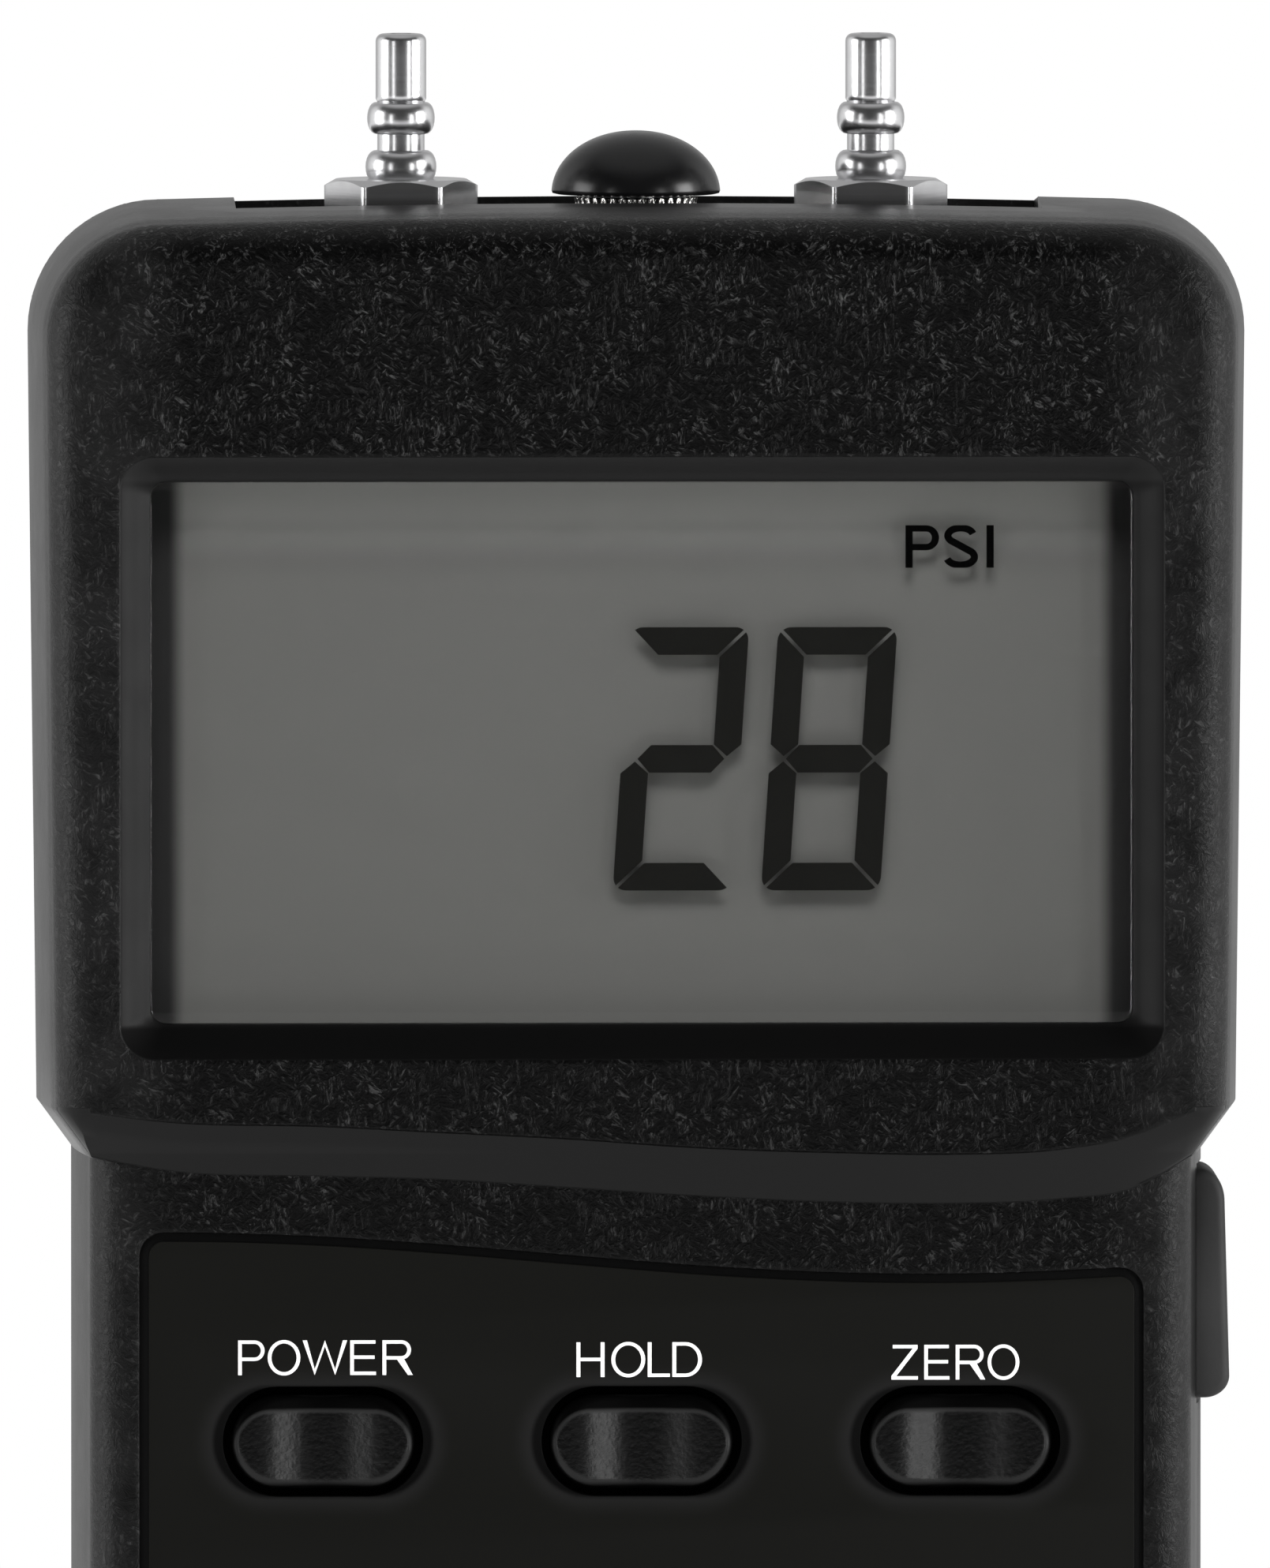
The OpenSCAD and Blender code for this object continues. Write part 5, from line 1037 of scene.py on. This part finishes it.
seen = straight.maths("MAXIMUM", mirrored * ((1 - front) * around + front * ahead))
light = sky.node("Mix", {"data_type": "FLOAT"}, {
    0: straight.maths("MAXIMUM", mirrored), 2: stage["ambient"], 3: seen})
sky.out(sky.node("Background", inputs={"Color": grey(1.0), "Strength": light}),
        "OutputWorld")

# Each lamp: its place, the height that it aims at, its width, height and watts
lamps = {"overhead": ((0.0, -0.5, 0.62), 0.14, 0.3, 0.26, 4.7),
         "leftStrip": ((-0.38, -0.52, 0.1), 0.11, 0.06, 0.5, 0.35),
         "rightStrip": ((0.36, -0.53, 0.1), 0.11, 0.06, 0.5, 0.6),
         "leftBox": ((-0.72, -0.12, 0.15), 0.12, 0.36, 0.6, 3.0),
         "rightBox": ((0.69, -0.24, 0.15), 0.12, 0.3, 0.6, 5.6),
         "rearBox": ((0.1, 0.7, 0.45), 0.1, 0.5, 0.4, 5.5)}
for name, (place, aim, width, height, watts) in lamps.items():
    lamp = bpy.data.lights.new(name, "AREA")
    lamp.shape = "RECTANGLE"
    lamp.size, lamp.size_y, lamp.energy = width, height, watts
    holder = addObject(name, lamp)
    holder.location = place
    holder.rotation_euler = (Vector((0, 0, aim)) - Vector(place)).to_track_quat("-Z", "Y").to_euler()
    holder.visible_glossy = name not in ("overhead", "rearBox")

shot = {"azimuth": -1.4, "elevation": 2.95, "distance": 3.3, "tall": 0.0924, "x": -0.00044, "z": 0.14574}
az, el = math.radians(shot["azimuth"]), math.radians(shot["elevation"])
towards = Vector((math.sin(az) * math.cos(el), -math.cos(az) * math.cos(el), math.sin(el)))
cameraData = bpy.data.cameras.new("camera")
cameraData.lens = 36.0 * shot["distance"] / shot["tall"]
cameraData.clip_end = 30.0
camera = addObject("camera", cameraData)
target = Vector((shot["x"], head["faceY"] * mm, shot["z"]))
camera.location = target + towards * shot["distance"]
camera.rotation_euler = (-towards).to_track_quat("-Z", "Y").to_euler()
scene.camera = camera
scene.view_settings.view_transform = "Standard"
print("stage made")

low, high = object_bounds()
